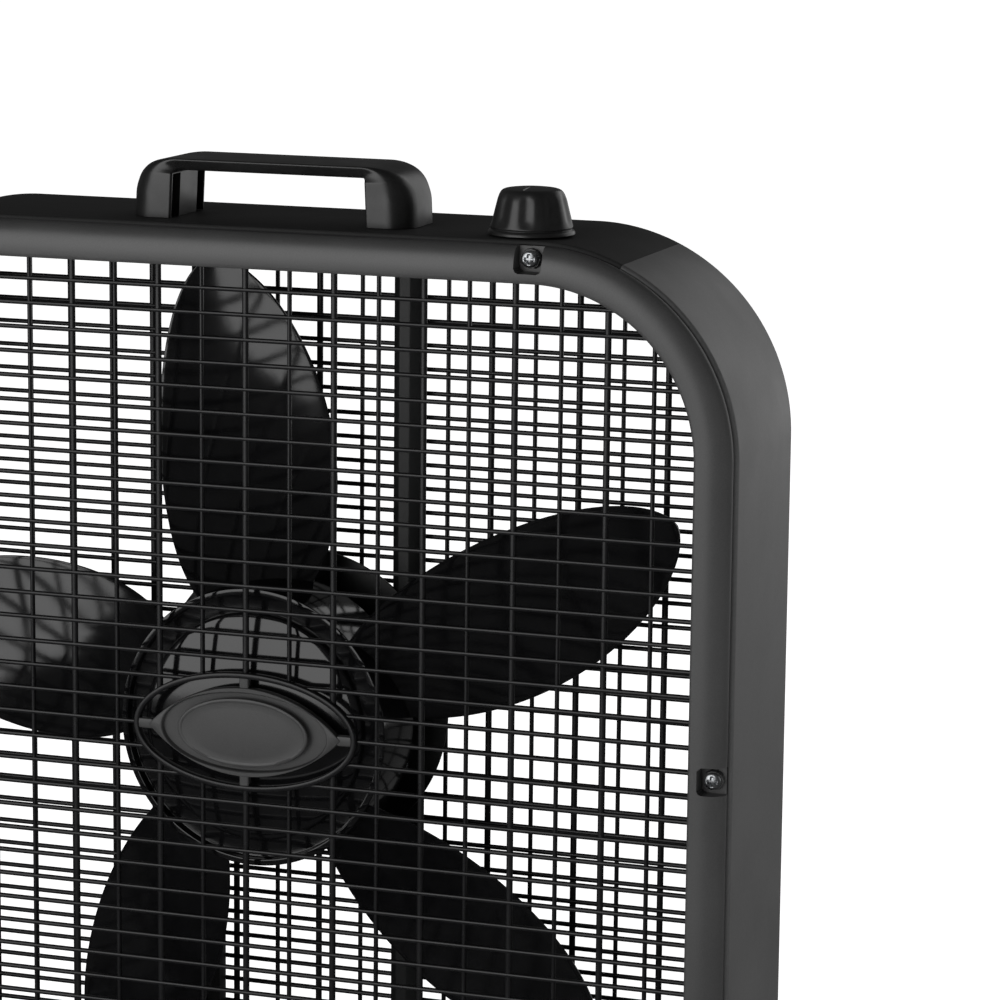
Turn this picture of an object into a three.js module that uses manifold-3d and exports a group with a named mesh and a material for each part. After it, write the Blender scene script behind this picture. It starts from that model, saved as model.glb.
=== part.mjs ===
// Box fan with a wrapped steel housing, moulded grilles, a top handle and a rotary speed switch.
// Millimetres, +Z up, the front faces -Y. The origin is on the floor, under the middle of the body.

import * as THREE from 'three';
import { mergeVertices } from 'three/addons/utils/BufferGeometryUtils.js';
import Module from 'manifold-3d';

const wasm = await Module();
wasm.setup();

// ---- driving dimensions ----
const BODY = 520.7; // outside width and height of the square body
const HALF = BODY / 2;
const CORNER = 104; // outside corner radius of the body
const FOOT_HEIGHT = 16;
const CENTRE = FOOT_HEIGHT + HALF; // height of the fan's axis
const SHEET = 1.2; // housing sheet thickness
const BAND_FRONT = -49.4;
const BAND_BACK = 49.4;
const FLANGE = 14; // inward flange of the band, front and back
const GAP = 0.3; // clearance between pieces that touch
const TOP = CENTRE + HALF;
const CORNER_STEPS = 8;

const BEZEL_WIDTH = 20.35;
const OPENING = HALF - BEZEL_WIDTH; // half width of the grille opening
const OPENING_RADIUS = CORNER - BEZEL_WIDTH;
const BEZEL_DEPTH = 9.6;
const BAR_PITCH = 12.64;
const BAR_SIZE = 2.3;
const BAR_COUNT = 18; // bars each side of the middle one
const RIB_PITCH = 95.67;
const RIB_SIZE = 3.4;
const REAR_RIB_SHIFT = 3.5; // the rear grille's ribs stand this far to the right of the front ones
const REAR_BAR_RISE = 1.2; // and its bars this far above them
const FRONT_BARS = -44.6; // front face of the front bars
const BACK_BARS = 48.3;
const BAR_DEPTH = 2.6;

const FAN_RADIUS = 240;
const HUB_RADIUS = 73;
const HUB_FRONT = -35.4;
const HUB_BACK = 5;
const BLADES = 5;

const RAIL_X = 57;
const RAIL_WIDTH = 15;
const RAIL_WALL = 1.5;
const RAIL_FRONT = 35.9;
const RAIL_BACK = 46.9;
const RAIL_SCREW_Z = HALF - 7; // up or down from the axis
const PLATE_RADIUS = 82;
const PLATE_BACK = RAIL_FRONT - GAP;
const PLATE_FRONT = PLATE_BACK - 1.8;
const PLATE_SCREW_X = [-RAIL_X, RAIL_X];
const PLATE_SCREW_Z = [CENTRE - 30, CENTRE + 30];
const LEAD_HOLE = 5; // radius of the hole that lets the leads out of the right rail
const LEAD_HOLE_Z = CENTRE + 48;

const COVER_RADIUS = 46;
const STATOR_FRONT = -2;
const STATOR_BACK = 20;
const SHAFT_RADIUS = 4;
const STATOR_BORE = 20.5;
const BOLT_REACH = 41.5; // from the axis to the motor's through bolts

const HANDLE_X = 7.5;
const HANDLE_WIDTH = 153;
const HANDLE_HEIGHT = 30.5;
const HANDLE_FRONT = -33;
const HANDLE_BACK = 11;
const HANDLE_BAR = 6; // thickness of the bar
const HANDLE_LEG = 23.5; // width of a leg
const HANDLE_SCREWS = [HANDLE_X - 64, HANDLE_X + 64];
const HANDLE_SCREW_Y = -10.5;

const KNOB_X = 145.4;
const KNOB_Y = -26;

const SCREW_INSET = 8.3; // from the body's outside to a grille screw's axis
const SIDE_SCREW = HALF - SCREW_INSET;
const END_SCREW_X = 154.5;
const BUSH_RADIUS = 5; // threaded neck of the switch

const FOOT_X = 128;
const FOOT_WIDTH = 40;
const FOOT_SCREW_Y = 24;
const GROMMET_X = -50;
const GROMMET_Y = 24;
const GROMMET_RADIUS = 6;

// ---- solids ----
function solid(geometry) {
  const bare = geometry.clone();
  bare.deleteAttribute('normal');
  bare.deleteAttribute('uv');
  const merged = mergeVertices(bare, 1e-4);
  const position = Float32Array.from(merged.attributes.position.array);
  let index = Uint32Array.from(merged.index.array);
  if (signedVolume(position, index) < 0) index = index.reverse();
  return new wasm.Manifold(new wasm.Mesh({ numProp: 3, vertProperties: position, triVerts: index }));
}

function signedVolume(position, index) {
  const [a, b, c] = [new THREE.Vector3(), new THREE.Vector3(), new THREE.Vector3()];
  let volume = 0;
  for (let i = 0; i < index.length; i += 3) {
    a.fromArray(position, 3 * index[i]);
    b.fromArray(position, 3 * index[i + 1]);
    c.fromArray(position, 3 * index[i + 2]);
    volume += a.dot(b.cross(c)) / 6;
  }
  return volume;
}

function join(solids) {
  return solids.reduce((whole, piece) => whole.add(piece));
}

function cut(whole, tools) {
  return tools.reduce((rest, tool) => rest.subtract(tool), whole);
}

const box = (x, y, z) => {
  const geometry = new THREE.BoxGeometry(x[1] - x[0], y[1] - y[0], z[1] - z[0]);
  geometry.translate((x[0] + x[1]) / 2, (y[0] + y[1]) / 2, (z[0] + z[1]) / 2);
  return solid(geometry);
};

// A shape drawn in X and Z, carried from y0 to y1.
function slab(shape, y0, y1, curveSegments = 8) {
  const geometry = new THREE.ExtrudeGeometry(shape, { depth: y1 - y0, bevelEnabled: false, curveSegments });
  geometry.rotateX(Math.PI / 2);
  geometry.translate(0, y1, 0);
  return solid(geometry);
}

// A profile of [radius, y] points, turned about a line along Y through x, z.
function turnedY(profile, x, z, sides) {
  const geometry = new THREE.LatheGeometry(profile.map(([r, y]) => new THREE.Vector2(r, y)), sides);
  geometry.translate(x, 0, z);
  return solid(geometry);
}

// A profile of [radius, z] points, turned about a vertical line through x, y.
function turnedZ(profile, x, y, sides) {
  const geometry = new THREE.LatheGeometry(profile.map(([r, z]) => new THREE.Vector2(r, z)), sides);
  geometry.rotateX(Math.PI / 2);
  geometry.translate(x, y, 0);
  return solid(geometry);
}

const rodProfile = (radius, from, to) => [[0, from], [radius, from], [radius, to], [0, to]];
const rodY = (radius, y0, y1, x, z, sides = 12) => turnedY(rodProfile(radius, y0, y1), x, z, sides);
const rodZ = (radius, z0, z1, x, y, sides = 12) => turnedZ(rodProfile(radius, z0, z1), x, y, sides);

function tubeY(outer, inner, y0, y1, sides) {
  return turnedY([[inner, y0], [outer, y0], [outer, y1], [inner, y1], [inner, y0]], 0, CENTRE, sides);
}

// A profile of [outward, y] points carried round the rounded square, outward counted from its opening.
function squareRing(profile) {
  const stations = 4 * (CORNER_STEPS + 1);
  const points = profile.map(([outward, y]) => new THREE.Vector2(1000 + outward, y));
  const geometry = new THREE.LatheGeometry([...points, points[0]], stations);
  const position = geometry.attributes.position;
  const middle = OPENING - OPENING_RADIUS;
  for (let i = 0; i < position.count; i++) {
    const station = Math.floor(i / (profile.length + 1)) % stations;
    const corner = Math.floor(station / (CORNER_STEPS + 1));
    const turn = ((corner + (station % (CORNER_STEPS + 1)) / CORNER_STEPS) * Math.PI) / 2;
    const sideX = corner === 0 || corner === 3 ? 1 : -1;
    const sideZ = corner < 2 ? 1 : -1;
    const [outward, y] = profile[(i % (profile.length + 1)) % profile.length];
    const reach = OPENING_RADIUS + outward;
    const x = sideX * middle + reach * Math.cos(turn);
    const z = CENTRE + sideZ * middle + reach * Math.sin(turn);
    position.setXYZ(i, x, y, z);
  }
  return solid(geometry);
}

function roundedSquare(half, radius) {
  const shape = new THREE.Shape();
  const inner = half - radius;
  shape.absarc(inner, CENTRE + inner, radius, 0, Math.PI / 2, false);
  shape.absarc(-inner, CENTRE + inner, radius, Math.PI / 2, Math.PI, false);
  shape.absarc(-inner, CENTRE - inner, radius, Math.PI, 1.5 * Math.PI, false);
  shape.absarc(inner, CENTRE - inner, radius, 1.5 * Math.PI, 2 * Math.PI, false);
  return shape;
}

function oval(halfWidth, halfHeight) {
  const shape = new THREE.Shape();
  shape.absellipse(0, CENTRE, halfWidth, halfHeight, 0, 2 * Math.PI, false, 0);
  return shape;
}

// ---- the assembly ----
const fan = new THREE.Group();

const FINISHES = {
  blackSteel: [0x3a3b3c, 0.45, 0.0],
  darkSteel: [0x2a2b2c, 0.5, 0.0],
  blackPlastic: [0x1b1c1d, 0.5, 0.0],
  greyPlastic: [0x3d3e40, 0.5, 0.0],
  bladePlastic: [0x141516, 0.45, 0.0],
  zinc: [0xc9cacb, 0.3, 1.0],
  steel: [0x8f9194, 0.4, 1.0],
  copper: [0xb06a3c, 0.4, 1.0],
  bronze: [0x9c7a48, 0.4, 1.0],
  rubber: [0x161616, 0.9, 0.0],
};

function addPiece(name, manifold, finish) {
  const mesh = manifold.getMesh();
  const geometry = new THREE.BufferGeometry();
  geometry.setAttribute('position', new THREE.BufferAttribute(Float32Array.from(mesh.vertProperties), 3));
  geometry.setIndex(new THREE.BufferAttribute(Uint32Array.from(mesh.triVerts), 1));
  geometry.computeVertexNormals();
  const [color, roughness, metalness] = FINISHES[finish];
  const piece = new THREE.Mesh(geometry, new THREE.MeshStandardMaterial({ color, roughness, metalness }));
  piece.name = name;
  fan.add(piece);
}

// ---- screws ----
// Where the six screws of each grille stand.
const GRILLE_SCREWS = [
  ['top_left', -END_SCREW_X, CENTRE + SIDE_SCREW],
  ['top_right', END_SCREW_X, CENTRE + SIDE_SCREW],
  ['left', -SIDE_SCREW, CENTRE],
  ['right', SIDE_SCREW, CENTRE],
  ['bottom_left', -END_SCREW_X, CENTRE - SIDE_SCREW],
  ['bottom_right', END_SCREW_X, CENTRE - SIDE_SCREW],
];
const SCREW_SHANK = 1.8;
const SCREW_HOLE = 2.2;
const RECESS = 14; // width of the pocket round a grille screw's head
const POCKET_FLOOR = 4.2; // from the band's edge out to the floor of the pocket

// A pan-head screw's profile along its axis: the head's underside at 0, its shank running to `reach`.
function panHead(headRadius, headHeight, reach) {
  const side = Math.sign(reach);
  return [
    [0, reach],
    [SCREW_SHANK, reach],
    [SCREW_SHANK, 0],
    [headRadius, 0],
    [headRadius, -side * headHeight * 0.5],
    [0, -side * headHeight],
  ];
}

function moved(profile, start) {
  return profile.map(([r, along]) => [r, along + start]);
}

function screwHolesY(y0, y1) {
  return GRILLE_SCREWS.map(([, x, z]) => rodY(SCREW_HOLE, y0, y1, x, z, 8));
}

const RAIL_SCREWS = [
  ['upper_left', -RAIL_X, CENTRE + RAIL_SCREW_Z],
  ['upper_right', RAIL_X, CENTRE + RAIL_SCREW_Z],
  ['lower_left', -RAIL_X, CENTRE - RAIL_SCREW_Z],
  ['lower_right', RAIL_X, CENTRE - RAIL_SCREW_Z],
];

// ---- housing ----
const WEB = BEZEL_WIDTH; // outward reach of the band's outside face
const FLANGE_EDGE = WEB - FLANGE;

function housing() {
  const ring = squareRing([
    [WEB, BAND_FRONT],
    [WEB, BAND_BACK],
    [FLANGE_EDGE, BAND_BACK],
    [FLANGE_EDGE, BAND_BACK - SHEET],
    [WEB - SHEET, BAND_BACK - SHEET],
    [WEB - SHEET, BAND_FRONT + SHEET],
    [FLANGE_EDGE, BAND_FRONT + SHEET],
    [FLANGE_EDGE, BAND_FRONT],
  ]);
  const holes = [
    ...screwHolesY(BAND_FRONT - 1, BAND_FRONT + 3),
    ...screwHolesY(BAND_BACK - 3, BAND_BACK + 1),
    ...RAIL_SCREWS.map(([, x, z]) => rodY(SCREW_HOLE, BAND_BACK - 3, BAND_BACK + 1, x, z, 8)),
  ];
  return cut(ring, holes);
}

// The top panel takes the top and the first part of each upper corner; the band takes the rest.
const JOINT_ANGLE = THREE.MathUtils.degToRad(24.7);

function topRegion(clearance) {
  const inner = HALF - CORNER;
  const reach = 1.5 * CORNER;
  const outX = inner + reach * Math.sin(JOINT_ANGLE) + clearance;
  const outZ = CENTRE + inner + reach * Math.cos(JOINT_ANGLE);
  const shape = new THREE.Shape([
    new THREE.Vector2(-inner - clearance, CENTRE + inner),
    new THREE.Vector2(inner + clearance, CENTRE + inner),
    new THREE.Vector2(outX, outZ),
    new THREE.Vector2(-outX, outZ),
  ]);
  return slab(shape, BAND_FRONT - 5, BAND_BACK + 5);
}

function buildHousing() {
  const whole = housing();
  const panelHoles = [
    rodZ(BUSH_RADIUS + GAP, TOP - 5, TOP + 5, KNOB_X, KNOB_Y, 16),
    ...HANDLE_SCREWS.map((x) => rodZ(SCREW_HOLE, TOP - 5, TOP + 5, x, HANDLE_SCREW_Y, 8)),
  ];
  addPiece('top_panel', cut(whole.intersect(topRegion(0)), panelHoles), 'darkSteel');

  const floorZ = CENTRE - HALF;
  const footHoles = [];
  for (const x of [-FOOT_X, FOOT_X]) {
    for (const y of [-FOOT_SCREW_Y, FOOT_SCREW_Y]) {
      footHoles.push(rodZ(SCREW_HOLE, floorZ - 5, floorZ + 5, x, y, 8));
    }
  }
  const grommetHole = rodZ(GROMMET_RADIUS + GAP, floorZ - 5, floorZ + 5, GROMMET_X, GROMMET_Y, 16);
  addPiece('housing_band', cut(whole.subtract(topRegion(GAP)), [...footHoles, grommetHole]), 'blackSteel');
}

// ---- grilles ----
function barField(y0, ribShift, barRise) {
  const y = [y0, y0 + BAR_DEPTH];
  const reach = [-OPENING - 1, OPENING + 1];
  const bars = [];
  for (let k = -BAR_COUNT; k <= BAR_COUNT; k++) {
    const z = CENTRE + k * BAR_PITCH + barRise;
    bars.push(box(reach, y, [z - BAR_SIZE / 2, z + BAR_SIZE / 2]));
  }
  for (const k of [-1, 1]) {
    const x = k * RIB_PITCH + ribShift;
    bars.push(box([x - RIB_SIZE / 2, x + RIB_SIZE / 2], y, [CENTRE + reach[0], CENTRE + reach[1]]));
  }
  const limit = slab(roundedSquare(OPENING + 0.8, OPENING_RADIUS + 0.8), y0 - 1, y0 + BAR_DEPTH + 1);
  return join(bars).intersect(limit);
}

// The bezel's section: flat behind, its front rounded over to the outside edge. `out` is -1 in front.
function bezel(edge, barFace, out) {
  const crest = edge + out * BEZEL_DEPTH;
  return squareRing([
    [BEZEL_WIDTH, edge],
    [BEZEL_WIDTH, edge + out * 1.5],
    [17.6, crest - out * 4.2],
    [13.2, crest - out * 1.5],
    [7, crest],
    [2, crest - out * 0.8],
    [0, crest - out * 3.2],
    [0, barFace],
    [4.5, barFace],
    [4.5, edge],
  ]);
}

// A pocket's reach along one direction: it runs out through the bezel's edge on its outward side.
function pocketSpan(at, outward) {
  const near = RECESS / 2;
  return [at - (outward < 0 ? RECESS : near), at + (outward > 0 ? RECESS : near)];
}

function screwPockets(floor, out) {
  const far = floor + out * 20;
  const y = [Math.min(floor, far), Math.max(floor, far)];
  return GRILLE_SCREWS.map(([, x, z]) => {
    const onSide = Math.abs(x) === SIDE_SCREW;
    const outX = onSide ? Math.sign(x) : 0;
    const outZ = onSide ? 0 : Math.sign(z - CENTRE);
    return box(pocketSpan(x, outX), y, pocketSpan(z, outZ));
  });
}

const FRONT_EDGE = BAND_FRONT - GAP;
const BACK_EDGE = BAND_BACK + GAP;
const RING_X = 61.5;
const RING_Z = 31;
const LENS_X = 53;
const LENS_Z = 23.3;

// The pointed oval behind the badge: two arcs that meet at the sides.
function lens(halfWidth, halfHeight) {
  const radius = (halfWidth ** 2 + halfHeight ** 2) / (2 * halfHeight);
  const sweep = Math.asin(halfWidth / radius);
  const shape = new THREE.Shape();
  shape.absarc(0, CENTRE + halfHeight - radius, radius, Math.PI / 2 - sweep, Math.PI / 2 + sweep, false);
  shape.absarc(0, CENTRE - halfHeight + radius, radius, 1.5 * Math.PI - sweep, 1.5 * Math.PI + sweep, false);
  return shape;
}

function buildGrilles() {
  const back = FRONT_BARS + BAR_DEPTH;
  const ringFront = FRONT_BARS - 2;
  let bars = barField(FRONT_BARS, 0, 0);
  bars = bars.subtract(slab(oval(RING_X - 1, RING_Z - 1), FRONT_BARS - 5, back + 5, 24));
  const centre = join([
    slab(oval(RING_X, RING_Z), ringFront, back, 24).subtract(slab(oval(RING_X - 3, RING_Z - 3), -60, 0, 24)),
    box([-RING_X + 1, RING_X - 1], [FRONT_BARS, back], [CENTRE - 3, CENTRE + 3]),
    box([-3, 3], [FRONT_BARS, back], [CENTRE - RING_Z + 1, CENTRE + RING_Z - 1]),
    slab(lens(LENS_X, LENS_Z), ringFront, back, 8),
  ]);
  const frontRim = cut(bezel(FRONT_EDGE, back, -1), [
    ...screwPockets(FRONT_EDGE - POCKET_FLOOR, -1),
    ...screwHolesY(FRONT_EDGE - 20, FRONT_EDGE + 5),
  ]);
  addPiece('front_grille', join([frontRim, bars, centre]), 'blackPlastic');

  const badge = slab(oval(36, 18), ringFront - GAP - 1.6, ringFront - GAP, 24);
  addPiece('badge_plate', badge, 'greyPlastic');

  const backRim = cut(bezel(BACK_EDGE, BACK_BARS, 1), [
    ...screwPockets(BACK_EDGE + POCKET_FLOOR, 1),
    ...screwHolesY(BACK_EDGE - 5, BACK_EDGE + 20),
    ...RAIL_SCREWS.map(([, x, z]) => rodY(5, BACK_EDGE - 2, BACK_EDGE + 3.4, x, z, 10)),
  ]);
  addPiece('rear_grille', backRim.add(barField(BACK_BARS, REAR_RIB_SHIFT, REAR_BAR_RISE)), 'blackPlastic');

  for (const [place, x, z] of GRILLE_SCREWS) {
    const front = moved(panHead(4.2, 2.8, 11), FRONT_EDGE - POCKET_FLOOR - GAP);
    const rear = moved(panHead(4.2, 2.8, -11), BACK_EDGE + POCKET_FLOOR + GAP);
    addPiece(`front_screw_${place}`, turnedY(front, x, z, 8), 'zinc');
    addPiece(`rear_screw_${place}`, turnedY(rear, x, z, 8), 'zinc');
  }
}

// ---- motor frame ----
function buildRails() {
  const reach = HALF - SHEET - GAP;
  const footHeight = 14;
  const leadHole = rodY(LEAD_HOLE, RAIL_FRONT - 1, RAIL_FRONT + 3, RAIL_X, LEAD_HOLE_Z, 12);
  const behindWeb = [RAIL_FRONT + RAIL_WALL, RAIL_BACK + 1];
  const leadNotch = box([RAIL_X + 3, RAIL_X + 9], behindWeb, [TOP - 52, TOP - 18]);
  for (const [name, x] of [['motor_rail_left', -RAIL_X], ['motor_rail_right', RAIL_X]]) {
    const spanX = [x - RAIL_WIDTH / 2, x + RAIL_WIDTH / 2];
    const insideX = [spanX[0] + RAIL_WALL, spanX[1] - RAIL_WALL];
    const outer = box(spanX, [RAIL_FRONT, RAIL_BACK], [CENTRE - reach, CENTRE + reach]);
    const channel = box(insideX, behindWeb, [0, TOP]);
    const foot = (z0, z1) => box(spanX, [RAIL_BACK - RAIL_WALL, RAIL_BACK], [z0, z1]);
    const lowFoot = foot(CENTRE - reach, CENTRE - reach + footHeight);
    const highFoot = foot(CENTRE + reach - footHeight, CENTRE + reach);
    const holes = RAIL_SCREWS.map(([, sx, sz]) => rodY(SCREW_HOLE, RAIL_FRONT + 2, RAIL_BACK + 2, sx, sz, 8));
    for (const z of PLATE_SCREW_Z) holes.push(rodY(SCREW_HOLE, PLATE_FRONT, RAIL_FRONT + 4, x, z, 8));
    const rail = cut(join([outer.subtract(channel), lowFoot, highFoot]), [...holes, leadHole, leadNotch]);
    addPiece(name, rail, 'darkSteel');
  }
  for (const [place, x, z] of RAIL_SCREWS) {
    const profile = moved(panHead(3.8, 2.4, -9), BAND_BACK + GAP);
    addPiece(`rail_screw_${place}`, turnedY(profile, x, z, 8), 'zinc');
  }
}

function buildMotor() {
  const through = [PLATE_FRONT - 1, PLATE_BACK + 1];
  const plate = rodY(PLATE_RADIUS, PLATE_FRONT, PLATE_BACK, 0, CENTRE, 48);
  const plateHoles = [
    rodY(14, ...through, 0, CENTRE, 20),
    rodY(LEAD_HOLE, ...through, RAIL_X, LEAD_HOLE_Z, 12),
    rodY(SCREW_HOLE, ...through, -BOLT_REACH, CENTRE, 8),
    rodY(SCREW_HOLE, ...through, BOLT_REACH, CENTRE, 8),
  ];
  for (const x of PLATE_SCREW_X) {
    for (const z of PLATE_SCREW_Z) plateHoles.push(rodY(SCREW_HOLE, ...through, x, z, 8));
  }
  addPiece('motor_plate', cut(plate, plateHoles), 'darkSteel');

  const boltHoles = (y0, y1) => [-BOLT_REACH, BOLT_REACH].map((x) => rodY(SCREW_HOLE, y0, y1, x, CENTRE, 8));
  const frontEnd = STATOR_FRONT - GAP;
  const backEnd = STATOR_BACK + GAP;
  const frontCover = turnedY([
    [9.5, -20], [12, -20], [13, -15], [40, -14], [COVER_RADIUS, -10], [COVER_RADIUS, frontEnd],
    [COVER_RADIUS - 2, frontEnd], [COVER_RADIUS - 2, -9], [39.5, -12], [12, -13], [9.5, -13], [9.5, -20],
  ], 0, CENTRE, 24);
  const backCover = turnedY([
    [9.5, 35], [12, 35], [13, PLATE_FRONT - GAP], [COVER_RADIUS, PLATE_FRONT - GAP], [COVER_RADIUS, backEnd],
    [COVER_RADIUS - 2, backEnd], [COVER_RADIUS - 2, 31], [12, 31], [12, 28], [9.5, 28], [9.5, 35],
  ], 0, CENTRE, 24);
  addPiece('motor_front_cover', cut(frontCover, boltHoles(-25, 0)), 'steel');
  addPiece('motor_rear_cover', cut(backCover, boltHoles(0, 40)), 'steel');

  const stator = tubeY(45, STATOR_BORE, STATOR_FRONT, STATOR_BACK, 24);
  addPiece('stator_core', cut(stator, boltHoles(-5, 25)), 'steel');
  addPiece('front_winding', tubeY(37, 22, -11, STATOR_FRONT - GAP, 16), 'copper');
  addPiece('rear_winding', tubeY(37, 22, STATOR_BACK + GAP, 29.5, 16), 'copper');
  addPiece('front_bearing', tubeY(9.2, SHAFT_RADIUS + GAP, -19.5, -13.5, 16), 'bronze');
  addPiece('rear_bearing', tubeY(9.2, SHAFT_RADIUS + GAP, 28.5, 34.5, 16), 'bronze');

  const rotor = tubeY(STATOR_BORE - 0.7, SHAFT_RADIUS, STATOR_FRONT, STATOR_BACK, 24);
  addPiece('rotor_core', rotor, 'steel');
  addPiece('motor_shaft', rodY(SHAFT_RADIUS - 0.3, -33, 36.5, 0, CENTRE, 16), 'steel');

  for (const [side, x] of [['left', -BOLT_REACH], ['right', BOLT_REACH]]) {
    const profile = moved(panHead(3.6, 2.4, 52), -14.6);
    addPiece(`motor_bolt_${side}`, turnedY(profile, x, CENTRE, 8), 'zinc');
  }
  for (const [side, x] of [['left', -RAIL_X], ['right', RAIL_X]]) {
    for (const [level, z] of [['lower', PLATE_SCREW_Z[0]], ['upper', PLATE_SCREW_Z[1]]]) {
      const profile = moved(panHead(3.8, 2.4, 8), PLATE_FRONT - GAP);
      addPiece(`plate_screw_${level}_${side}`, turnedY(profile, x, z, 8), 'zinc');
    }
  }
}

// ---- fan ----
// A blade over its radius: leaf-shaped, steepest at the root, and swept back to the rear at the tip.
function bladeSolid(turn) {
  const [across, along, thickness] = [4, 9, 2.2];
  const root = HUB_RADIUS - 1.5;
  const geometry = new THREE.BoxGeometry(1, 1, 1, across, 1, along);
  const position = geometry.attributes.position;
  for (let i = 0; i < position.count; i++) {
    const span = position.getZ(i) + 0.5;
    const eased = 1 - (1 - span) ** 1.6; // closer sections towards the tip
    const radius = root + (FAN_RADIUS - 0.6 - root) * eased;
    const outward = (radius - root) / (FAN_RADIUS - root);
    const half = 43 * (1 - ((radius - 145) / 95) ** 2) ** 0.6;
    const chord = 2 * half * position.getX(i);
    const pitch = 0.22 + 0.46 * (1 - outward) ** 2;
    const camber = 3.5 * (1 - 4 * position.getX(i) ** 2) * (half / 43);
    const middle = 11.65 - 28 * (1 - outward) ** 1.7;
    const y = middle + pitch * chord + camber + thickness * position.getY(i);
    const angle = THREE.MathUtils.degToRad(-5 - 5 * outward) + chord / radius + turn;
    position.setXYZ(i, radius * Math.sin(angle), y, CENTRE + radius * Math.cos(angle));
  }
  return solid(geometry);
}

function buildFan() {
  const hub = turnedY([
    [HUB_RADIUS - 3.5, HUB_FRONT], [HUB_RADIUS, HUB_FRONT], [HUB_RADIUS + 0.8, HUB_BACK],
    [HUB_RADIUS - 2, HUB_BACK], [HUB_RADIUS - 2.5, -28], [11, -26], [10, -22.5], [SHAFT_RADIUS + 0.1, -22.5],
    [SHAFT_RADIUS + 0.1, -29.5], [62, -30.5], [HUB_RADIUS - 3.5, -30.5], [HUB_RADIUS - 3.5, HUB_FRONT],
  ], 0, CENTRE, 36);
  const inside = turnedY(rodProfile(HUB_RADIUS - 2.6, -27.5, 40), 0, CENTRE, 36);
  const whole = [hub];
  for (let k = 0; k < BLADES; k++) whole.push(bladeSolid((2 * Math.PI * k) / BLADES).subtract(inside));
  addPiece('fan_blade', join(whole), 'bladePlastic');

  const cap = turnedY([
    [0, -38.8], [25, -38.3], [45, -36.9], [58, -34.4], [60, -31], [57.5, -31], [44, -34.6], [25, -35.8],
    [0, -36.3],
  ], 0, CENTRE, 32);
  addPiece('hub_cap', cap, 'bladePlastic');
  const nut = turnedY([[4.2, -32.6], [9, -32.6], [9, -30], [4.2, -30], [4.2, -32.6]], 0, CENTRE, 12);
  addPiece('blade_nut', nut, 'zinc');
}

// ---- handle ----
function handleOutline() {
  const [left, right] = [-HANDLE_WIDTH / 2, HANDLE_WIDTH / 2];
  const [low, high] = [TOP + GAP, TOP + HANDLE_HEIGHT];
  const under = high - HANDLE_BAR;
  const shape = new THREE.Shape();
  shape.moveTo(left, low);
  shape.lineTo(left + 0.5, low + 12);
  shape.quadraticCurveTo(left + 2.5, high, left + 26, high);
  shape.lineTo(right - 26, high);
  shape.quadraticCurveTo(right - 2.5, high, right - 0.5, low + 12);
  shape.lineTo(right, low);
  shape.lineTo(right - HANDLE_LEG, low);
  shape.lineTo(right - HANDLE_LEG - 1, under);
  shape.lineTo(left + HANDLE_LEG + 1, under);
  shape.lineTo(left + HANDLE_LEG, low);
  shape.closePath();
  return shape;
}

// Each leg is hollow: two slots open towards the hand, with a web between them that takes the screw.
function buildHandle() {
  const placed = slab(handleOutline(), HANDLE_FRONT, HANDLE_BACK, 6).translate([HANDLE_X, 0, 0]);
  const wall = 1.8;
  const webHalf = 11;
  const slotHeight = [TOP - 1, TOP + 23];
  const [left, right] = [HANDLE_X - HANDLE_WIDTH / 2, HANDLE_X + HANDLE_WIDTH / 2];
  const slots = [
    [HANDLE_FRONT + wall, HANDLE_SCREW_Y - webHalf],
    [HANDLE_SCREW_Y + webHalf, HANDLE_BACK - wall],
  ];
  const tools = [];
  for (const slot of slots) {
    tools.push(box([left + 9, left + HANDLE_LEG + 6], slot, slotHeight));
    tools.push(box([right - HANDLE_LEG - 6, right - 9], slot, slotHeight));
  }
  for (const x of HANDLE_SCREWS) tools.push(rodZ(SCREW_HOLE, TOP - 1, TOP + 14, x, HANDLE_SCREW_Y, 8));
  addPiece('handle', cut(placed, tools), 'blackPlastic');
  HANDLE_SCREWS.forEach((x, i) => {
    const profile = moved(panHead(4, 2.4, 14), TOP - SHEET - GAP);
    addPiece(`handle_screw_${i === 0 ? 'left' : 'right'}`, turnedZ(profile, x, HANDLE_SCREW_Y, 8), 'zinc');
  });
}

// ---- switch ----
const SWITCH_SHAFT = 3;
const SWITCH_LEFT = KNOB_X - 24; // the body stands inwards, clear of the rounded corner
const KNOB_LOW = TOP + 0.8;
const KNOB_HIGH = TOP + 24;
const KNOB_BASE = 21.2;
const KNOB_CROWN = 15;
const SWITCH_DEPTH = 19;

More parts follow.
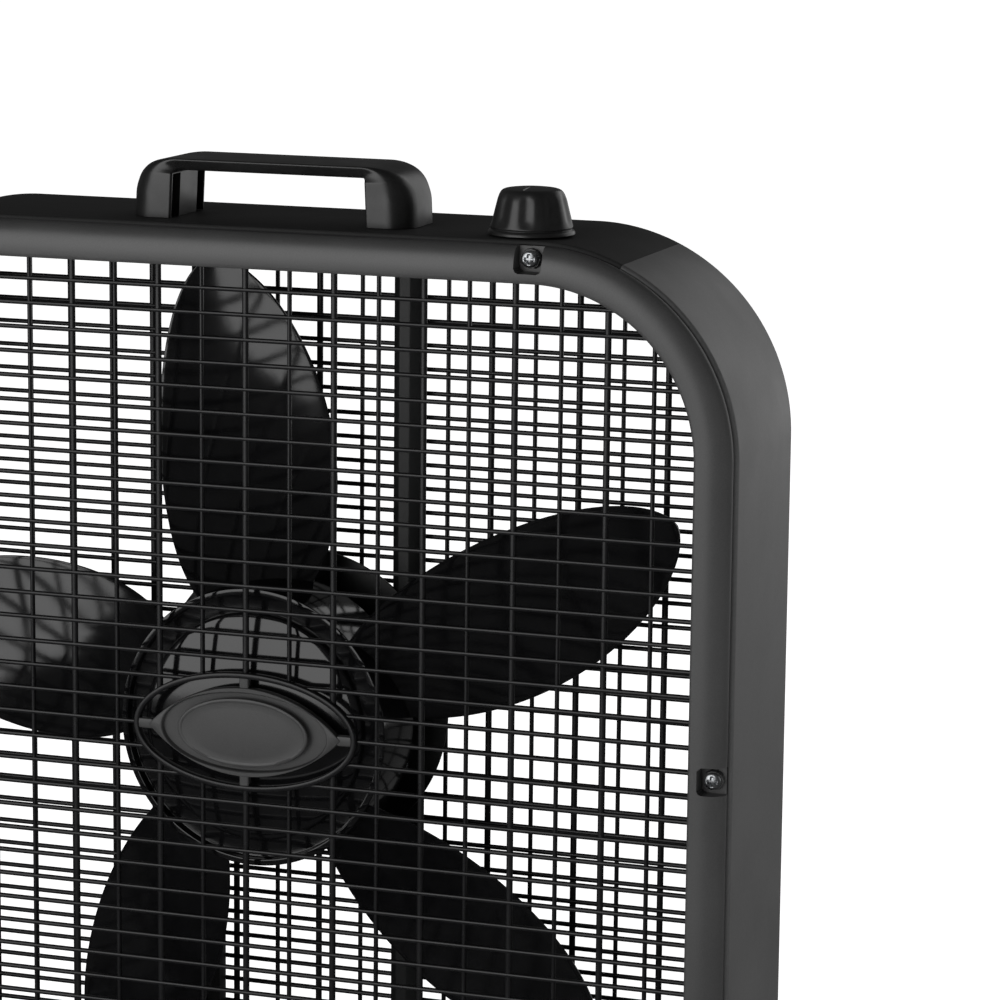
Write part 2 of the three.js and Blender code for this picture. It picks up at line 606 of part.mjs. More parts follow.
function buildSwitch() {
  const ceiling = TOP - SHEET - GAP;
  const body = join([
    box([SWITCH_LEFT, KNOB_X + 7], [KNOB_Y - 14, KNOB_Y + 14], [ceiling - SWITCH_DEPTH, ceiling]),
    rodZ(BUSH_RADIUS, ceiling - 1, TOP + 6, KNOB_X, KNOB_Y, 16),
  ]);
  const boreFloor = ceiling - SWITCH_DEPTH + 3;
  const bore = rodZ(SWITCH_SHAFT + GAP, boreFloor, TOP + 10, KNOB_X, KNOB_Y, 16);
  addPiece('switch_body', body.subtract(bore), 'greyPlastic');
  const shaft = rodZ(SWITCH_SHAFT, boreFloor + 1, TOP + 18, KNOB_X, KNOB_Y, 16);
  addPiece('switch_shaft', shaft, 'steel');
  const nut = turnedZ([
    [BUSH_RADIUS + GAP, TOP + GAP], [8, TOP + GAP], [8, TOP + 3], [BUSH_RADIUS + GAP, TOP + 3],
    [BUSH_RADIUS + GAP, TOP + GAP],
  ], KNOB_X, KNOB_Y, 12);
  addPiece('switch_nut', nut, 'zinc');

  const knob = turnedZ([
    [0, KNOB_LOW], [KNOB_BASE, KNOB_LOW], [KNOB_BASE, KNOB_LOW + 2], [KNOB_BASE - 1.5, KNOB_LOW + 3],
    [KNOB_CROWN + 1.5, KNOB_HIGH - 3], [KNOB_CROWN - 1, KNOB_HIGH - 0.8], [0, KNOB_HIGH],
  ], KNOB_X, KNOB_Y, 24);
  const hollow = rodZ(11, TOP - 1, TOP + 8, KNOB_X, KNOB_Y, 24);
  const socket = rodZ(SWITCH_SHAFT + 0.15, TOP - 1, TOP + 18.4, KNOB_X, KNOB_Y, 16);
  addPiece('speed_knob', cut(knob, [hollow, socket]), 'blackPlastic');

  const capacitor = box([-66, -49.5], [12, PLATE_FRONT - GAP], [CENTRE - 23, CENTRE + 23]);
  addPiece('run_capacitor', capacitor, 'greyPlastic');
}

// ---- leads and cord inlet ----
function buildLeads() {
  // From the switch under the top panel, down inside the right rail, out to the motor's rear cover.
  const under = TOP - 8;
  const inRail = 42;
  const route = new THREE.CatmullRomCurve3([
    new THREE.Vector3(SWITCH_LEFT - 1.8, KNOB_Y, under - 1),
    new THREE.Vector3(102, -10, under),
    new THREE.Vector3(86, 22, under),
    new THREE.Vector3(74, 41, under - 8),
    new THREE.Vector3(66, inRail, TOP - 30),
    new THREE.Vector3(RAIL_X, inRail, TOP - 48),
    new THREE.Vector3(RAIL_X, inRail, CENTRE + 140),
    new THREE.Vector3(RAIL_X, inRail, CENTRE + 60),
    new THREE.Vector3(RAIL_X, 40, LEAD_HOLE_Z + 3),
    new THREE.Vector3(RAIL_X + 0.5, 34, LEAD_HOLE_Z - 0.5),
    new THREE.Vector3(RAIL_X + 3, 27, LEAD_HOLE_Z - 7),
    new THREE.Vector3(66, 26, CENTRE + 22),
    new THREE.Vector3(60, 26, CENTRE + 8),
    new THREE.Vector3(COVER_RADIUS + 2, 26, CENTRE + 2),
  ]);
  const section = new THREE.Shape();
  section.absarc(0, 0, 2.6, 0, 2 * Math.PI, false);
  const leads = new THREE.ExtrudeGeometry(section, { steps: 44, curveSegments: 4, extrudePath: route });
  addPiece('motor_leads', solid(leads), 'rubber');

  const wall = FOOT_HEIGHT;
  const grommet = turnedZ([
    [3.4, wall - 2.5], [9, wall - 2.5], [9, wall - GAP], [GROMMET_RADIUS, wall - GAP],
    [GROMMET_RADIUS, wall + SHEET + GAP], [8, wall + SHEET + GAP], [8, wall + SHEET + 2.5],
    [3.4, wall + SHEET + 2.5], [3.4, wall - 2.5],
  ], GROMMET_X, GROMMET_Y, 16);
  addPiece('cord_grommet', grommet, 'rubber');
}

// ---- feet ----
function buildFeet() {
  const high = FOOT_HEIGHT - GAP;
  const side = new THREE.Shape([
    [-65, 0], [-38, 0], [-33, 3], [33, 3], [38, 0], [65, 0], [65, 6], [60, 11], [56, high], [-56, high],
    [-60, 11], [-65, 6],
  ].map(([y, z]) => new THREE.Vector2(y, z)));
  for (const [name, x] of [['left', -FOOT_X], ['right', FOOT_X]]) {
    const geometry = new THREE.ExtrudeGeometry(side, { depth: FOOT_WIDTH, bevelEnabled: false });
    geometry.rotateX(Math.PI / 2);
    geometry.rotateZ(Math.PI / 2);
    geometry.translate(x - FOOT_WIDTH / 2, 0, 0);
    let foot = solid(geometry);
    for (const y of [-FOOT_SCREW_Y, FOOT_SCREW_Y]) {
      foot = cut(foot, [rodZ(SCREW_HOLE, 1, 20, x, y, 8), rodZ(5, 1, 7, x, y, 12)]);
      const profile = moved(panHead(4, 2.4, 15), 7 - GAP);
      addPiece(`foot_screw_${name}_${y < 0 ? 'front' : 'rear'}`, turnedZ(profile, x, y, 8), 'zinc');
    }
    addPiece(`foot_${name}`, foot, 'blackPlastic');
  }
}

buildHousing();
buildGrilles();
buildRails();
buildMotor();
buildFan();
buildHandle();
buildSwitch();
buildLeads();
buildFeet();

export default fan;
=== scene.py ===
import math

import bpy
import numpy as np
from mathutils import Matrix


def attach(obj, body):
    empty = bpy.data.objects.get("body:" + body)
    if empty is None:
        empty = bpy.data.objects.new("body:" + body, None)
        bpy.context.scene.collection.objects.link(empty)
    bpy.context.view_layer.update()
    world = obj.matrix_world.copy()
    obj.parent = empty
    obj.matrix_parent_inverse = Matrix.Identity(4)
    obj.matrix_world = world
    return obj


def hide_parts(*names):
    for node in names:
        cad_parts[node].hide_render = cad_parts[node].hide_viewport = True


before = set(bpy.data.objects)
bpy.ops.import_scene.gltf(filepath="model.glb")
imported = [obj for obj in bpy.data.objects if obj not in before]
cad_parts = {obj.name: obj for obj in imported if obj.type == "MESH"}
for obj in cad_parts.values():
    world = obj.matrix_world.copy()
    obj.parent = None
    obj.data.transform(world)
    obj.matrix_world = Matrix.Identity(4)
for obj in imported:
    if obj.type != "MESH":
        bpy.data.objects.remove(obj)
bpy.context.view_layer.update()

# A box fan: a rolled steel housing between two moulded grilles, a five-bladed fan on a motor, a carrying
# handle and a speed knob. Lengths are millimetres until they reach a mesh, which is in metres. X runs to the
# right, Y from the front grille to the rear one, Z up from the floor.

MM = 0.001
TURN = 2 * math.pi

# ---- sizes shared by several pieces ----
HALF = 260.35  # half the body's width and height
CORNER = 104.0  # outside radius of the body's corners
MIDDLE = HALF - CORNER  # a corner's centre, from the fan's axis
CENTRE = 276.35  # height of the fan's axis
TOP = CENTRE + HALF
BEZEL_WIDTH = 20.35
OPENING_RADIUS = CORNER - BEZEL_WIDTH  # inside radius of the bezel's corners
BAND_EDGE = 49.4  # the housing's front and rear edges, from the middle
RIM_EDGE = BAND_EDGE + 0.3  # where a grille's bezel starts
BAR_PITCH = 12.64
BAR_COUNT = 18  # bars each side of the middle one
RIB_PITCH = 23.917
RIB_COUNT = 9  # ribs each side of the middle one
FRONT_BARS = -44.6  # front face of the front bars
REAR_BARS = 48.3
BAR_DEPTH = 2.6
SCREW_SIDE = HALF - 8.3  # a grille screw's distance from the axis
SCREW_END = 154.5
HUB_RADIUS = 73.0
FAN_RADIUS = 240.0
KNOB = (145.4, -26.0)
CEILING = TOP - 1.5  # just under the top panel
HANDLE_X = 7.5
HANDLE_SCREW_REACH = 64.0  # from the handle's middle to its screws
HANDLE_SCREW_Y = -10.5
RAIL_X = 57.0
RAIL_FRONT, RAIL_BACK = 35.9, 46.9
PLATE_RADIUS = 82.0
PLATE_FRONT, PLATE_BACK = 33.8, 35.6
PLATE_SEAT = 33.5  # where the parts on the front of the plate end
PLATE_SCREW_RISE = 30.0  # above and below the axis
BOLT_REACH = 41.5  # from the axis to the motor's through bolts
FOOT_X = 128.0
FOOT_SCREW_Y = 24.0
GROMMET = (-50.0, 24.0)
FLOOR_SHEET = 16.0  # height of the housing's underside
REAR_RIB_SHIFT = 3.5  # the rear ribs stand this far to the right of the front ones
REAR_BAR_RISE = 1.2  # and the rear bars this far above them

GRILLE_SCREWS = {
    "top_left": (-SCREW_END, SCREW_SIDE),
    "top_right": (SCREW_END, SCREW_SIDE),
    "left": (-SCREW_SIDE, 0.0),
    "right": (SCREW_SIDE, 0.0),
    "bottom_left": (-SCREW_END, -SCREW_SIDE),
    "bottom_right": (SCREW_END, -SCREW_SIDE),
}


# ---- meshes ----
def shell(grid, along=False, around=True):
    """Closed faces over a grid of points, its rows along a path and its columns round a section.

    `along` joins the last row to the first and `around` the last column to the first. Without `along`, a flat
    face closes each end. The faces are turned over if the volume they enclose comes out negative.
    """
    grid = np.asarray(grid, float)
    rows, columns = grid.shape[:2]
    index = np.arange(rows * columns).reshape(rows, columns)
    ends = [] if along else [index[0, ::-1], index[-1]]
    if along:
        index = np.vstack([index, index[:1]])
    if around:
        index = np.hstack([index, index[:, :1]])
    quads = np.stack([index[:-1, :-1], index[:-1, 1:], index[1:, 1:], index[1:, :-1]], -1).reshape(-1, 4)
    points = grid.reshape(-1, 3)
    a, b, c, d = (points[quads[:, i]] - points.mean(0) for i in range(4))
    volume = np.sum(a * (np.cross(b, c) + np.cross(c, d)))
    for end in ends:
        rim = points[end] - points.mean(0)
        volume += np.sum(rim[0] * np.cross(rim[1:-1], rim[2:]))
    if volume < 0:
        quads, ends = quads[:, ::-1], [end[::-1] for end in ends]
    return points, quads, ends


def make_piece(name, body, replaced, dressed, sharp=38.0):
    """One object from closed shells, riding on a CAD body. `dressed` pairs each material with its shells."""
    points, faces, finish, start = [], [], [], 0
    mesh = bpy.data.meshes.new(name)
    for number, (material, shells) in enumerate(dressed):
        mesh.materials.append(material)
        for vertices, quads, ends in shells:
            new = (quads + start).tolist() + [(end + start).tolist() for end in ends]
            points.append(vertices)
            faces += new
            finish += [number] * len(new)
            start += len(vertices)
    mesh.from_pydata((np.concatenate(points) * MM).tolist(), [], faces)
    mesh.polygons.foreach_set("material_index", finish)
    mesh.shade_smooth()
    mesh.set_sharp_from_angle(angle=math.radians(sharp))
    thing = bpy.data.objects.new(name, mesh)
    bpy.context.scene.collection.objects.link(thing)
    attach(thing, body)
    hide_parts(*replaced)
    return thing


def rounded(corners, radius, closed=True, steps=4):
    """A polyline with each corner cut back by its radius and bridged by a parabola through the two cuts."""
    corners = np.asarray(corners, float)
    back = np.roll(corners, 1, 0) - corners
    ahead = np.roll(corners, -1, 0) - corners
    reach = np.broadcast_to(radius, len(corners))[:, None]
    start = corners + back * np.minimum(reach / np.linalg.norm(back, axis=1, keepdims=True), 0.48)
    end = corners + ahead * np.minimum(reach / np.linalg.norm(ahead, axis=1, keepdims=True), 0.48)
    t = np.linspace(0, 1, steps + 1)[None, :, None]
    curve = (1 - t) ** 2 * start[:, None] + 2 * t * (1 - t) * corners[:, None] + t**2 * end[:, None]
    if closed:
        return curve.reshape(-1, 2)
    return np.vstack([corners[:1], curve[1:-1].reshape(-1, 2), corners[-1:]])


def rectangle(low, high, radius, steps=3):
    """A rectangle with rounded corners, from its low corner to its high one."""
    (x0, y0), (x1, y1) = low, high
    return rounded([(x0, y0), (x1, y0), (x1, y1), (x0, y1)], radius, steps=steps)


def turned(profile, centre, axis="y", steps=72, ring=False):
    """A profile of (radius, place along the axis) turned about a line along Y or Z through `centre`."""
    radius, place = np.asarray(profile, float).T
    angle = np.linspace(0, TURN, steps, endpoint=False)
    first = centre[0] + np.outer(radius, np.cos(angle))
    second = centre[1] + np.outer(radius, np.sin(angle))
    along = np.repeat(place[:, None], steps, 1)
    order = [first, along, second] if axis == "y" else [first, second, along]
    return shell(np.stack(order, -1), along=ring)


def prism(section, axis, low, high, edge=0.4):
    """A closed section carried along one axis, drawn in at both ends by `edge` so its corners are broken."""
    section = np.asarray(section, float)
    middle = (section.min(0) + section.max(0)) / 2
    small = middle + (section - middle) * (1 - 2 * edge / np.ptp(section, axis=0))
    places = [low, low + edge, high - edge, high]
    rows = np.stack([small, section, section, small])
    along = np.repeat(np.array(places)[:, None, None], section.shape[0], 1)
    parts = {
        "x": [along, rows[..., :1], rows[..., 1:]],
        "y": [rows[..., :1], along, rows[..., 1:]],
        "z": [rows[..., :1], rows[..., 1:], along],
    }
    return shell(np.concatenate(parts[axis], -1))


def block(low, high, radius=1.0):
    """A rounded block between two corners: a rounded rectangle in X and Y, carried up Z."""
    return prism(rectangle(low[:2], high[:2], radius), "z", low[2], high[2], min(radius, 0.8))


# ---- the rounded square that the housing and both bezels follow ----
def corner_run(angles):
    """Stations round one corner: the corner's centre and the outward direction at each angle, in degrees."""
    turn = np.radians(np.asarray(angles, float))
    middle = turn.mean()
    centre = MIDDLE * np.sign([math.cos(middle), math.sin(middle)])
    return np.column_stack([np.tile(centre, (len(turn), 1)), np.cos(turn), np.sin(turn)])


def side_run(angle, places):
    """Stations down one straight side, whose outward direction is at `angle` degrees."""
    turn = math.radians(angle)
    out = np.array([math.cos(turn), math.sin(turn)])
    along = np.array([-out[1], out[0]])
    places = np.asarray(places, float)[:, None]
    return np.column_stack([MIDDLE * out + places * along, np.tile(out, (len(places), 1))])


def round_body(stations, outward, height):
    """Points on the rounded square: each station's corner centre, plus the opening's radius and `outward`
    along the station's direction, with `height` as Y. Rows are stations and columns the section."""
    reach = OPENING_RADIUS + outward
    x = stations[:, :1] + stations[:, 2:3] * reach
    z = CENTRE + stations[:, 1:2] + stations[:, 3:4] * reach
    return np.stack([x, np.broadcast_to(height, x.shape), z], -1)


# ---- materials ----
def to_linear(colour):
    """An sRGB hex colour as the linear red, green, blue and alpha that a shader takes."""
    parts = [int(colour[i : i + 2], 16) / 255 for i in (1, 3, 5)]
    return [*(c / 12.92 if c <= 0.04045 else ((c + 0.055) / 1.055) ** 2.4 for c in parts), 1.0]


def add(tree, kind, inputs=None, **settings):
    """Adds a node, sets its properties, and gives each named input a value or a link from another output."""
    node = tree.nodes.new(kind)
    for name, value in settings.items():
        setattr(node, name, value)
    for name, value in (inputs or {}).items():
        if isinstance(value, bpy.types.NodeSocket):
            tree.links.new(value, node.inputs[name])
        else:
            node.inputs[name].default_value = value
    return node


def surface(
    name,
    dark,
    light,
    patch,
    grain,
    depth,
    roughness,
    metallic=0.0,
    specular=0.5,
    stretch=(1, 1, 1),
):
    """A material from two noises on Object coordinates.

    The slow one, `patch` mm across, moves the colour from `dark` to `light` and the roughness over its range,
    as handling, flow and dust do. The fine one, `grain` mm across, is the surface's own texture, `depth` mm
    deep; `stretch` scales it along X, Y and Z for drawn, rolled or wound surfaces.
    """
    material = bpy.data.materials.new(name)
    material.use_nodes = True
    tree = material.node_tree
    tree.nodes.clear()
    place = add(tree, "ShaderNodeTexCoord").outputs["Object"]
    drawn = add(tree, "ShaderNodeMapping", {"Vector": place, "Scale": stretch}).outputs["Vector"]
    broad = {"Vector": place, "Scale": 1 / (patch * MM), "Detail": 4.0, "Roughness": 0.6}
    narrow = {"Vector": drawn, "Scale": 1 / (grain * MM), "Detail": 2.0, "Roughness": 0.5}
    slow = add(tree, "ShaderNodeTexNoise", broad)
    fine = add(tree, "ShaderNodeTexNoise", narrow)
    both = add(tree, "ShaderNodeMath", {0: slow.outputs["Fac"], 1: fine.outputs["Fac"]}, operation="ADD")
    spread = {"Value": both.outputs[0], "From Min": 0.75, "From Max": 1.25}
    share = add(tree, "ShaderNodeMapRange", spread).outputs["Result"]
    blend = {"Factor": share, "A": to_linear(dark), "B": to_linear(light)}
    colour = add(tree, "ShaderNodeMix", blend, data_type="RGBA")
    polish = {"Value": slow.outputs["Fac"], "From Min": 0.3, "From Max": 0.7}
    smooth, rough = roughness
    gloss = add(tree, "ShaderNodeMapRange", {**polish, "To Min": smooth, "To Max": rough})
    relief = {"Height": fine.outputs["Fac"], "Strength": 1.0, "Distance": depth * MM}
    bump = add(tree, "ShaderNodeBump", relief)
    shader = add(
        tree,
        "ShaderNodeBsdfPrincipled",
        {
            "Base Color": [s for s in colour.outputs if s.type == "RGBA"][0],
            "Roughness": gloss.outputs["Result"],
            "Normal": bump.outputs["Normal"],
            "Metallic": metallic,
            "IOR": 1.5,
            "Specular IOR Level": specular,
        },
    )
    add(tree, "ShaderNodeOutputMaterial", {"Surface": shader.outputs["BSDF"]})
    return material


# Powder-coated sheet steel: an even satin grey-black with the faint orange peel that powder leaves.
ENAMEL = surface("powder_coated_steel", "#484848", "#4f4f4f", 45, 1.6, 0.012, (0.42, 0.52))
# The same steel on the top panel, matt, with a darker colour that is painted shade on its upward faces; it
# gives back little of what stands behind it.
PANEL_SHADE_ENAMEL = surface("steel_painted_top_shade", "#262626", "#2c2c2c", 45, 1.2, 0.012, (0.6, 0.7), specular=0.25)
# Rails and motor plate: electro-coated steel, thin, smooth and nearly black.
DIPPED_STEEL = surface(
    "electrocoated_steel", "#0f1010", "#151616", 30, 1.0, 0.004, (0.3, 0.38), specular=0.35
)
# Moulded polypropylene from a spark-eroded tool: satin, with a fine grain, drawn twice as coarse as it is.
BEZEL_PLASTIC = surface("moulded_polypropylene_satin", "#383838", "#404040", 60, 0.8, 0.016, (0.34, 0.42))
# The same plastic on the thin bars and the oval ring, shinier, with a darker colour that is painted shade.
BAR_SHADE_PLASTIC = surface(
    "moulded_polypropylene_painted_shade", "#0e0e0f", "#141415", 40, 2.0, 0.004, (0.24, 0.32), specular=0.35
)
# Fan: injection-moulded polypropylene, black and glossy, with the slight waviness of thin sections.
BLADE_PLASTIC = surface("moulded_fan_plastic", "#0a0a0b", "#101011", 50, 9.0, 0.02, (0.08, 0.14))
# Badge: the same moulding with a finer grain on its flat face.
BADGE_PLASTIC = surface("moulded_badge_plastic", "#2e2e2e", "#363636", 25, 0.6, 0.01, (0.38, 0.46))
# Handle: ABS with a satin gloss that rubs brighter where it is held.
HANDLE_PLASTIC = surface("moulded_abs_satin", "#121212", "#1b1b1b", 25, 0.9, 0.01, (0.26, 0.4))
# Knob: ABS, a little duller than the handle in its flutes.
KNOB_PLASTIC = surface("moulded_abs_knob", "#161616", "#1f1f1f", 12, 0.7, 0.008, (0.28, 0.38))
# Screws: zinc plate over formed steel, a little dulled and faintly mottled.
ZINC = surface("zinc_plated_steel", "#8f9193", "#b4b6b8", 3, 0.5, 0.004, (0.24, 0.36), metallic=1.0)
# Motor covers and the capacitor's strap: galvanised sheet, pressed, with a soft spangle.
GALVANISED = surface(
    "galvanised_pressed_steel", "#7f8285", "#a3a6a9", 9, 2.5, 0.006, (0.34, 0.5), metallic=1.0
)
# Stator and rotor: stacked laminations 0.5 mm thick, drawn as 1 mm bands along the axis.
LAMINATED = surface(
    "laminated_electrical_steel", "#4c4e50", "#77797c", 12, 1.0, 0.05, (0.45, 0.6),
    metallic=1.0, stretch=(0.04, 1, 0.04),
)
# Shaft: ground bar with fine turning marks round it.
GROUND_STEEL = surface(
    "ground_steel_bar", "#8a8d90", "#b0b3b5", 15, 0.5, 0.004, (0.18, 0.3),
    metallic=1.0, stretch=(0.1, 1, 0.1),
)
# Windings: enamelled copper wire 0.6 mm thick, drawn at 1 mm.
COPPER = surface(
    "enamelled_copper_wire", "#7c3f1f", "#b5683a", 8, 1.0, 0.2, (0.25, 0.4),
    metallic=1.0, stretch=(1, 0.15, 1),
)
# Bearings: sintered bronze, porous and oily.
BRONZE = surface("sintered_bronze", "#8a6a3a", "#a9854d", 3, 0.4, 0.02, (0.35, 0.5), metallic=1.0)
# Leads: extruded PVC insulation, soft sheen.
LEAD_PVC = surface("extruded_pvc", "#101011", "#1a1a1b", 10, 1.5, 0.01, (0.4, 0.5))
# Feet and grommet: moulded rubber, dull, dusty in places.
RUBBER = surface("moulded_rubber", "#131313", "#242423", 14, 0.8, 0.03, (0.7, 0.85), specular=0.3)
# Switch: glass-filled nylon, matt, with short flow lines.
NYLON = surface("glass_filled_nylon", "#1f2021", "#2b2c2d", 10, 0.6, 0.02, (0.55, 0.7), stretch=(1, 1, 0.3))
# Capacitor: a potted polypropylene case, warm grey.
CAPACITOR_CASE = surface("potted_capacitor_case", "#5b5a56", "#6b6a66", 12, 0.8, 0.01, (0.4, 0.5))


# ---- housing ----
def sheet_section():
    """The rolled sheet's section: a flat outside face, a tight bend and an inward flange at each edge."""
    thick, reach, bend = 1.2, 14.0, 2.2
    outer, inner = BEZEL_WIDTH, BEZEL_WIDTH - thick
    lip = BEZEL_WIDTH - reach
    edge = BAND_EDGE
    corners = [
        (lip, -edge), (outer, -edge), (outer, edge), (lip, edge),
        (lip, edge - thick), (inner, edge - thick), (inner, thick - edge), (lip, thick - edge),
    ]
    cuts = [0.4, bend, bend, 0.4, 0.4, 0.8, 0.8, 0.4]
    return rounded(corners, cuts, steps=6)


def make_housing():
    """The sheet's section carried round the rounded square: over the top for the panel, and round the sides
    and bottom for the band. They part on a radius of each upper corner."""
    part_angle, gap = 24.7, 0.2
    section = sheet_section()
    straight = np.linspace(-MIDDLE, MIDDLE, 12)[1:-1]
    over = np.vstack([
        corner_run(np.linspace(90 - part_angle + gap / 2, 90, 16)),
        side_run(90, straight),
        corner_run(np.linspace(90, 90 + part_angle - gap / 2, 16)),
    ])
    round_sides = np.vstack([
        corner_run(np.linspace(90 + part_angle, 180, 32)),
        side_run(180, straight),
        corner_run(np.linspace(180, 270, 40)),
        side_run(270, straight),
        corner_run(np.linspace(270, 360, 40)),
        side_run(0, straight),
        corner_run(np.linspace(0, 90 - part_angle, 32)),
    ])
    # The top panel gets the darker colour, painted shade on its upward faces; the band keeps the plain
    # enamel.
    for name, stations, slot, material in (
        ("top_panel", over, "panel_paint", PANEL_SHADE_ENAMEL),
        ("housing_band", round_sides, "housing_paint", ENAMEL),
    ):
        skin = shell(round_body(stations, section[:, 0], section[:, 1]))
        make_piece(f"{name}_sheet", "frame", [name], [(material, [skin])])


# ---- grilles ----
def pocket_distance(x, z):
    """How far each point lies outside the nearest screw pocket, a rounded rectangle 14 mm wide round the
    screw that is open to the body's outside, and how far it lies from the nearest screw."""
    half, round_off = 7.0, 3.5
    nearest, to_screw = np.full(x.shape, 1e9), np.full(x.shape, 1e9)
    for sx, sz in GRILLE_SCREWS.values():
        side = abs(sz) < 1
        along = z - CENTRE - sz if side else x - sx
        inward = -(x - sx) * np.sign(sx) if side else -(z - CENTRE - sz) * np.sign(sz)
        a = np.abs(along) - (half - round_off)
        b = inward - (half - round_off)
        outside = np.hypot(np.maximum(a, 0), np.maximum(b, 0))
        distance = outside + np.minimum(np.maximum(a, b), 0) - round_off
        nearest = np.minimum(nearest, distance)
        to_screw = np.minimum(to_screw, np.hypot(x - sx, z - CENTRE - sz))
    return nearest, to_screw


def bezel_section():
    """The bezel's section as (outward, height): an inner lip back to the bars, a small round over the inner
    edge, a nearly flat inner half, and an elliptic fall to a lip that is undercut where it meets the band."""
    crest, lip_round = 9.6, 2.0
    turn = np.linspace(0, math.pi / 2, 7)
    inner = np.column_stack([lip_round * (1 - np.cos(turn)), crest - 0.25 - lip_round * (1 - np.sin(turn))])
    flat = np.linspace(lip_round, 6.0, 9)[1:]
    level = np.column_stack([flat, crest - 0.25 * ((6.0 - flat) / 4.0) ** 2])
    turn = np.linspace(0, math.pi / 2, 40)[1:]
    fall_start, fall_height, foot, lip = 6.0, 7.2, 2.4, BEZEL_WIDTH - 1.8
    outward = fall_start + (lip - fall_start) * np.sin(turn)
    fall = np.column_stack([outward, foot + fall_height * np.cos(turn)])
    undercut = [(lip - 0.1, 1.9), (lip - 0.4, 1.4), (lip - 0.6, 0.7), (lip - 0.7, 0.0)]
    return np.vstack([inner, level, fall, undercut])


def bezel(bars_face, out):
    """The bezel all round, with its screw pockets: inside a pocket nothing stands above the pocket's floor,
    and only a round boss under the screw stands as high as the screw's head needs."""
    pocket_floor, boss_height, boss_radius = 1.2, 4.2, 4.9
    lip_depth, lip_width = RIM_EDGE - abs(bars_face), 4.5
    corner = np.concatenate([np.arange(0, 9, 0.3), np.linspace(9, 81, 30), 90 - np.arange(0, 9, 0.3)[::-1]])
    near = np.arange(0.4, 12, 0.45)
    ends = np.concatenate([-MIDDLE + near, np.linspace(-134, 134, 9), MIDDLE - near[::-1]])
    pocket = np.concatenate([np.arange(-10, -7.1, 0.4), [-7.03, -6.97], np.arange(-6.7, 6.75, 0.45)])
    beyond = np.concatenate([[6.97, 7.03], np.arange(7.3, 10, 0.4)])
    sides = np.sort(np.concatenate([ends[np.abs(ends) > 11], pocket, beyond]))
    stations = np.vstack([
        run
        for quarter in range(4)
        for run in (
            side_run(90 * quarter, sides if quarter % 2 == 0 else ends),
            corner_run(90 * quarter + corner),
        )
    ])
    front = bezel_section()
    back = np.array([(lip_width, 0.0), (lip_width, -lip_depth), (0.3, -lip_depth), (0.0, 0.3 - lip_depth)])
    section = np.vstack([front, back])
    grid = round_body(stations, section[:, 0], section[:, 1])
    height = grid[..., 1]
    distance, to_screw = pocket_distance(grid[..., 0], grid[..., 2])
    floor = np.where(to_screw < boss_radius, boss_height, pocket_floor)
    height = np.where(distance < 0, np.minimum(height, floor), height)
    grid[..., 1] = out * (RIM_EDGE + height)
    return shell(grid, along=True)


def span(offset):
    """Half the opening's width at an offset from the axis: the rounded square's straight side or its arc."""
    into = np.maximum(abs(offset) - MIDDLE, 0)
    return MIDDLE + math.sqrt(OPENING_RADIUS**2 - into**2) + 1.5


def grille_bars(face, shift=(0.0, 0.0), hole=None):
    """Straight bars and ribs with round fronts across the opening. `shift` moves the ribs along X and the
    bars along Z. `hole` gives the half axes of an oval that they stop at."""
    bar_width, thick_rib, thin_rib = 2.3, 3.3, 2.1
    rib_front, rib_back = 0.25, 2.95  # behind the bars' front faces
    shells = []
    for axis, pitch, count in (("x", BAR_PITCH, BAR_COUNT), ("z", RIB_PITCH, RIB_COUNT)):
        for k in range(-count, count + 1):
            across = axis == "x"
            offset = k * pitch + (shift[1] if across else shift[0])
            width = bar_width if across else (thick_rib if k % 2 == 0 else thin_rib)
            depth = (face, face + BAR_DEPTH) if across else (face + rib_front, face + rib_back)
            base = CENTRE if across else 0.0
            low, high = base + offset - width / 2, base + offset + width / 2
            if across:
                section = rectangle((depth[0], low), (depth[1], high), 0.48 * width, steps=4)
            else:
                section = rectangle((low, depth[0]), (high, depth[1]), 0.48 * width, steps=4)
            reach, middle = span(offset), 0.0 if across else CENTRE
            runs = [(-reach, reach)]
            if hole is not None:
                own, other = (hole[1], hole[0]) if across else (hole[0], hole[1])
                if abs(offset) < own:
                    stop = other * math.sqrt(1 - (offset / own) ** 2)
                    runs = [(-reach, -stop), (stop, reach)]
            shells += [prism(section, axis, middle + a, middle + b, 0.1) for a, b in runs]
    return shells


def ellipse_reach(angle, width, height):
    """Distance from the centre to an ellipse at each angle."""
    return 1 / np.hypot(np.cos(angle) / width, np.sin(angle) / height)


def lens_reach(angle, width, height):
    """Distance from the centre to a pointed oval, which is two arcs that meet at the sides."""
    radius = (width**2 + height**2) / (2 * height)
    sag = radius - height
    rise = np.abs(np.sin(angle))
    return -sag * rise + np.sqrt(sag**2 * rise**2 - sag**2 + radius**2)


def stacked(rows, steps=144):
    """A closed solid from rings about the fan's axis. Each row is (reach at every angle, Y)."""
    angle = np.linspace(0, TURN, steps, endpoint=False)
    grid = [
        np.column_stack([reach * np.cos(angle), np.full(steps, y), CENTRE + reach * np.sin(angle)])
        for reach, y in rows
    ]
    return shell(np.stack(grid))


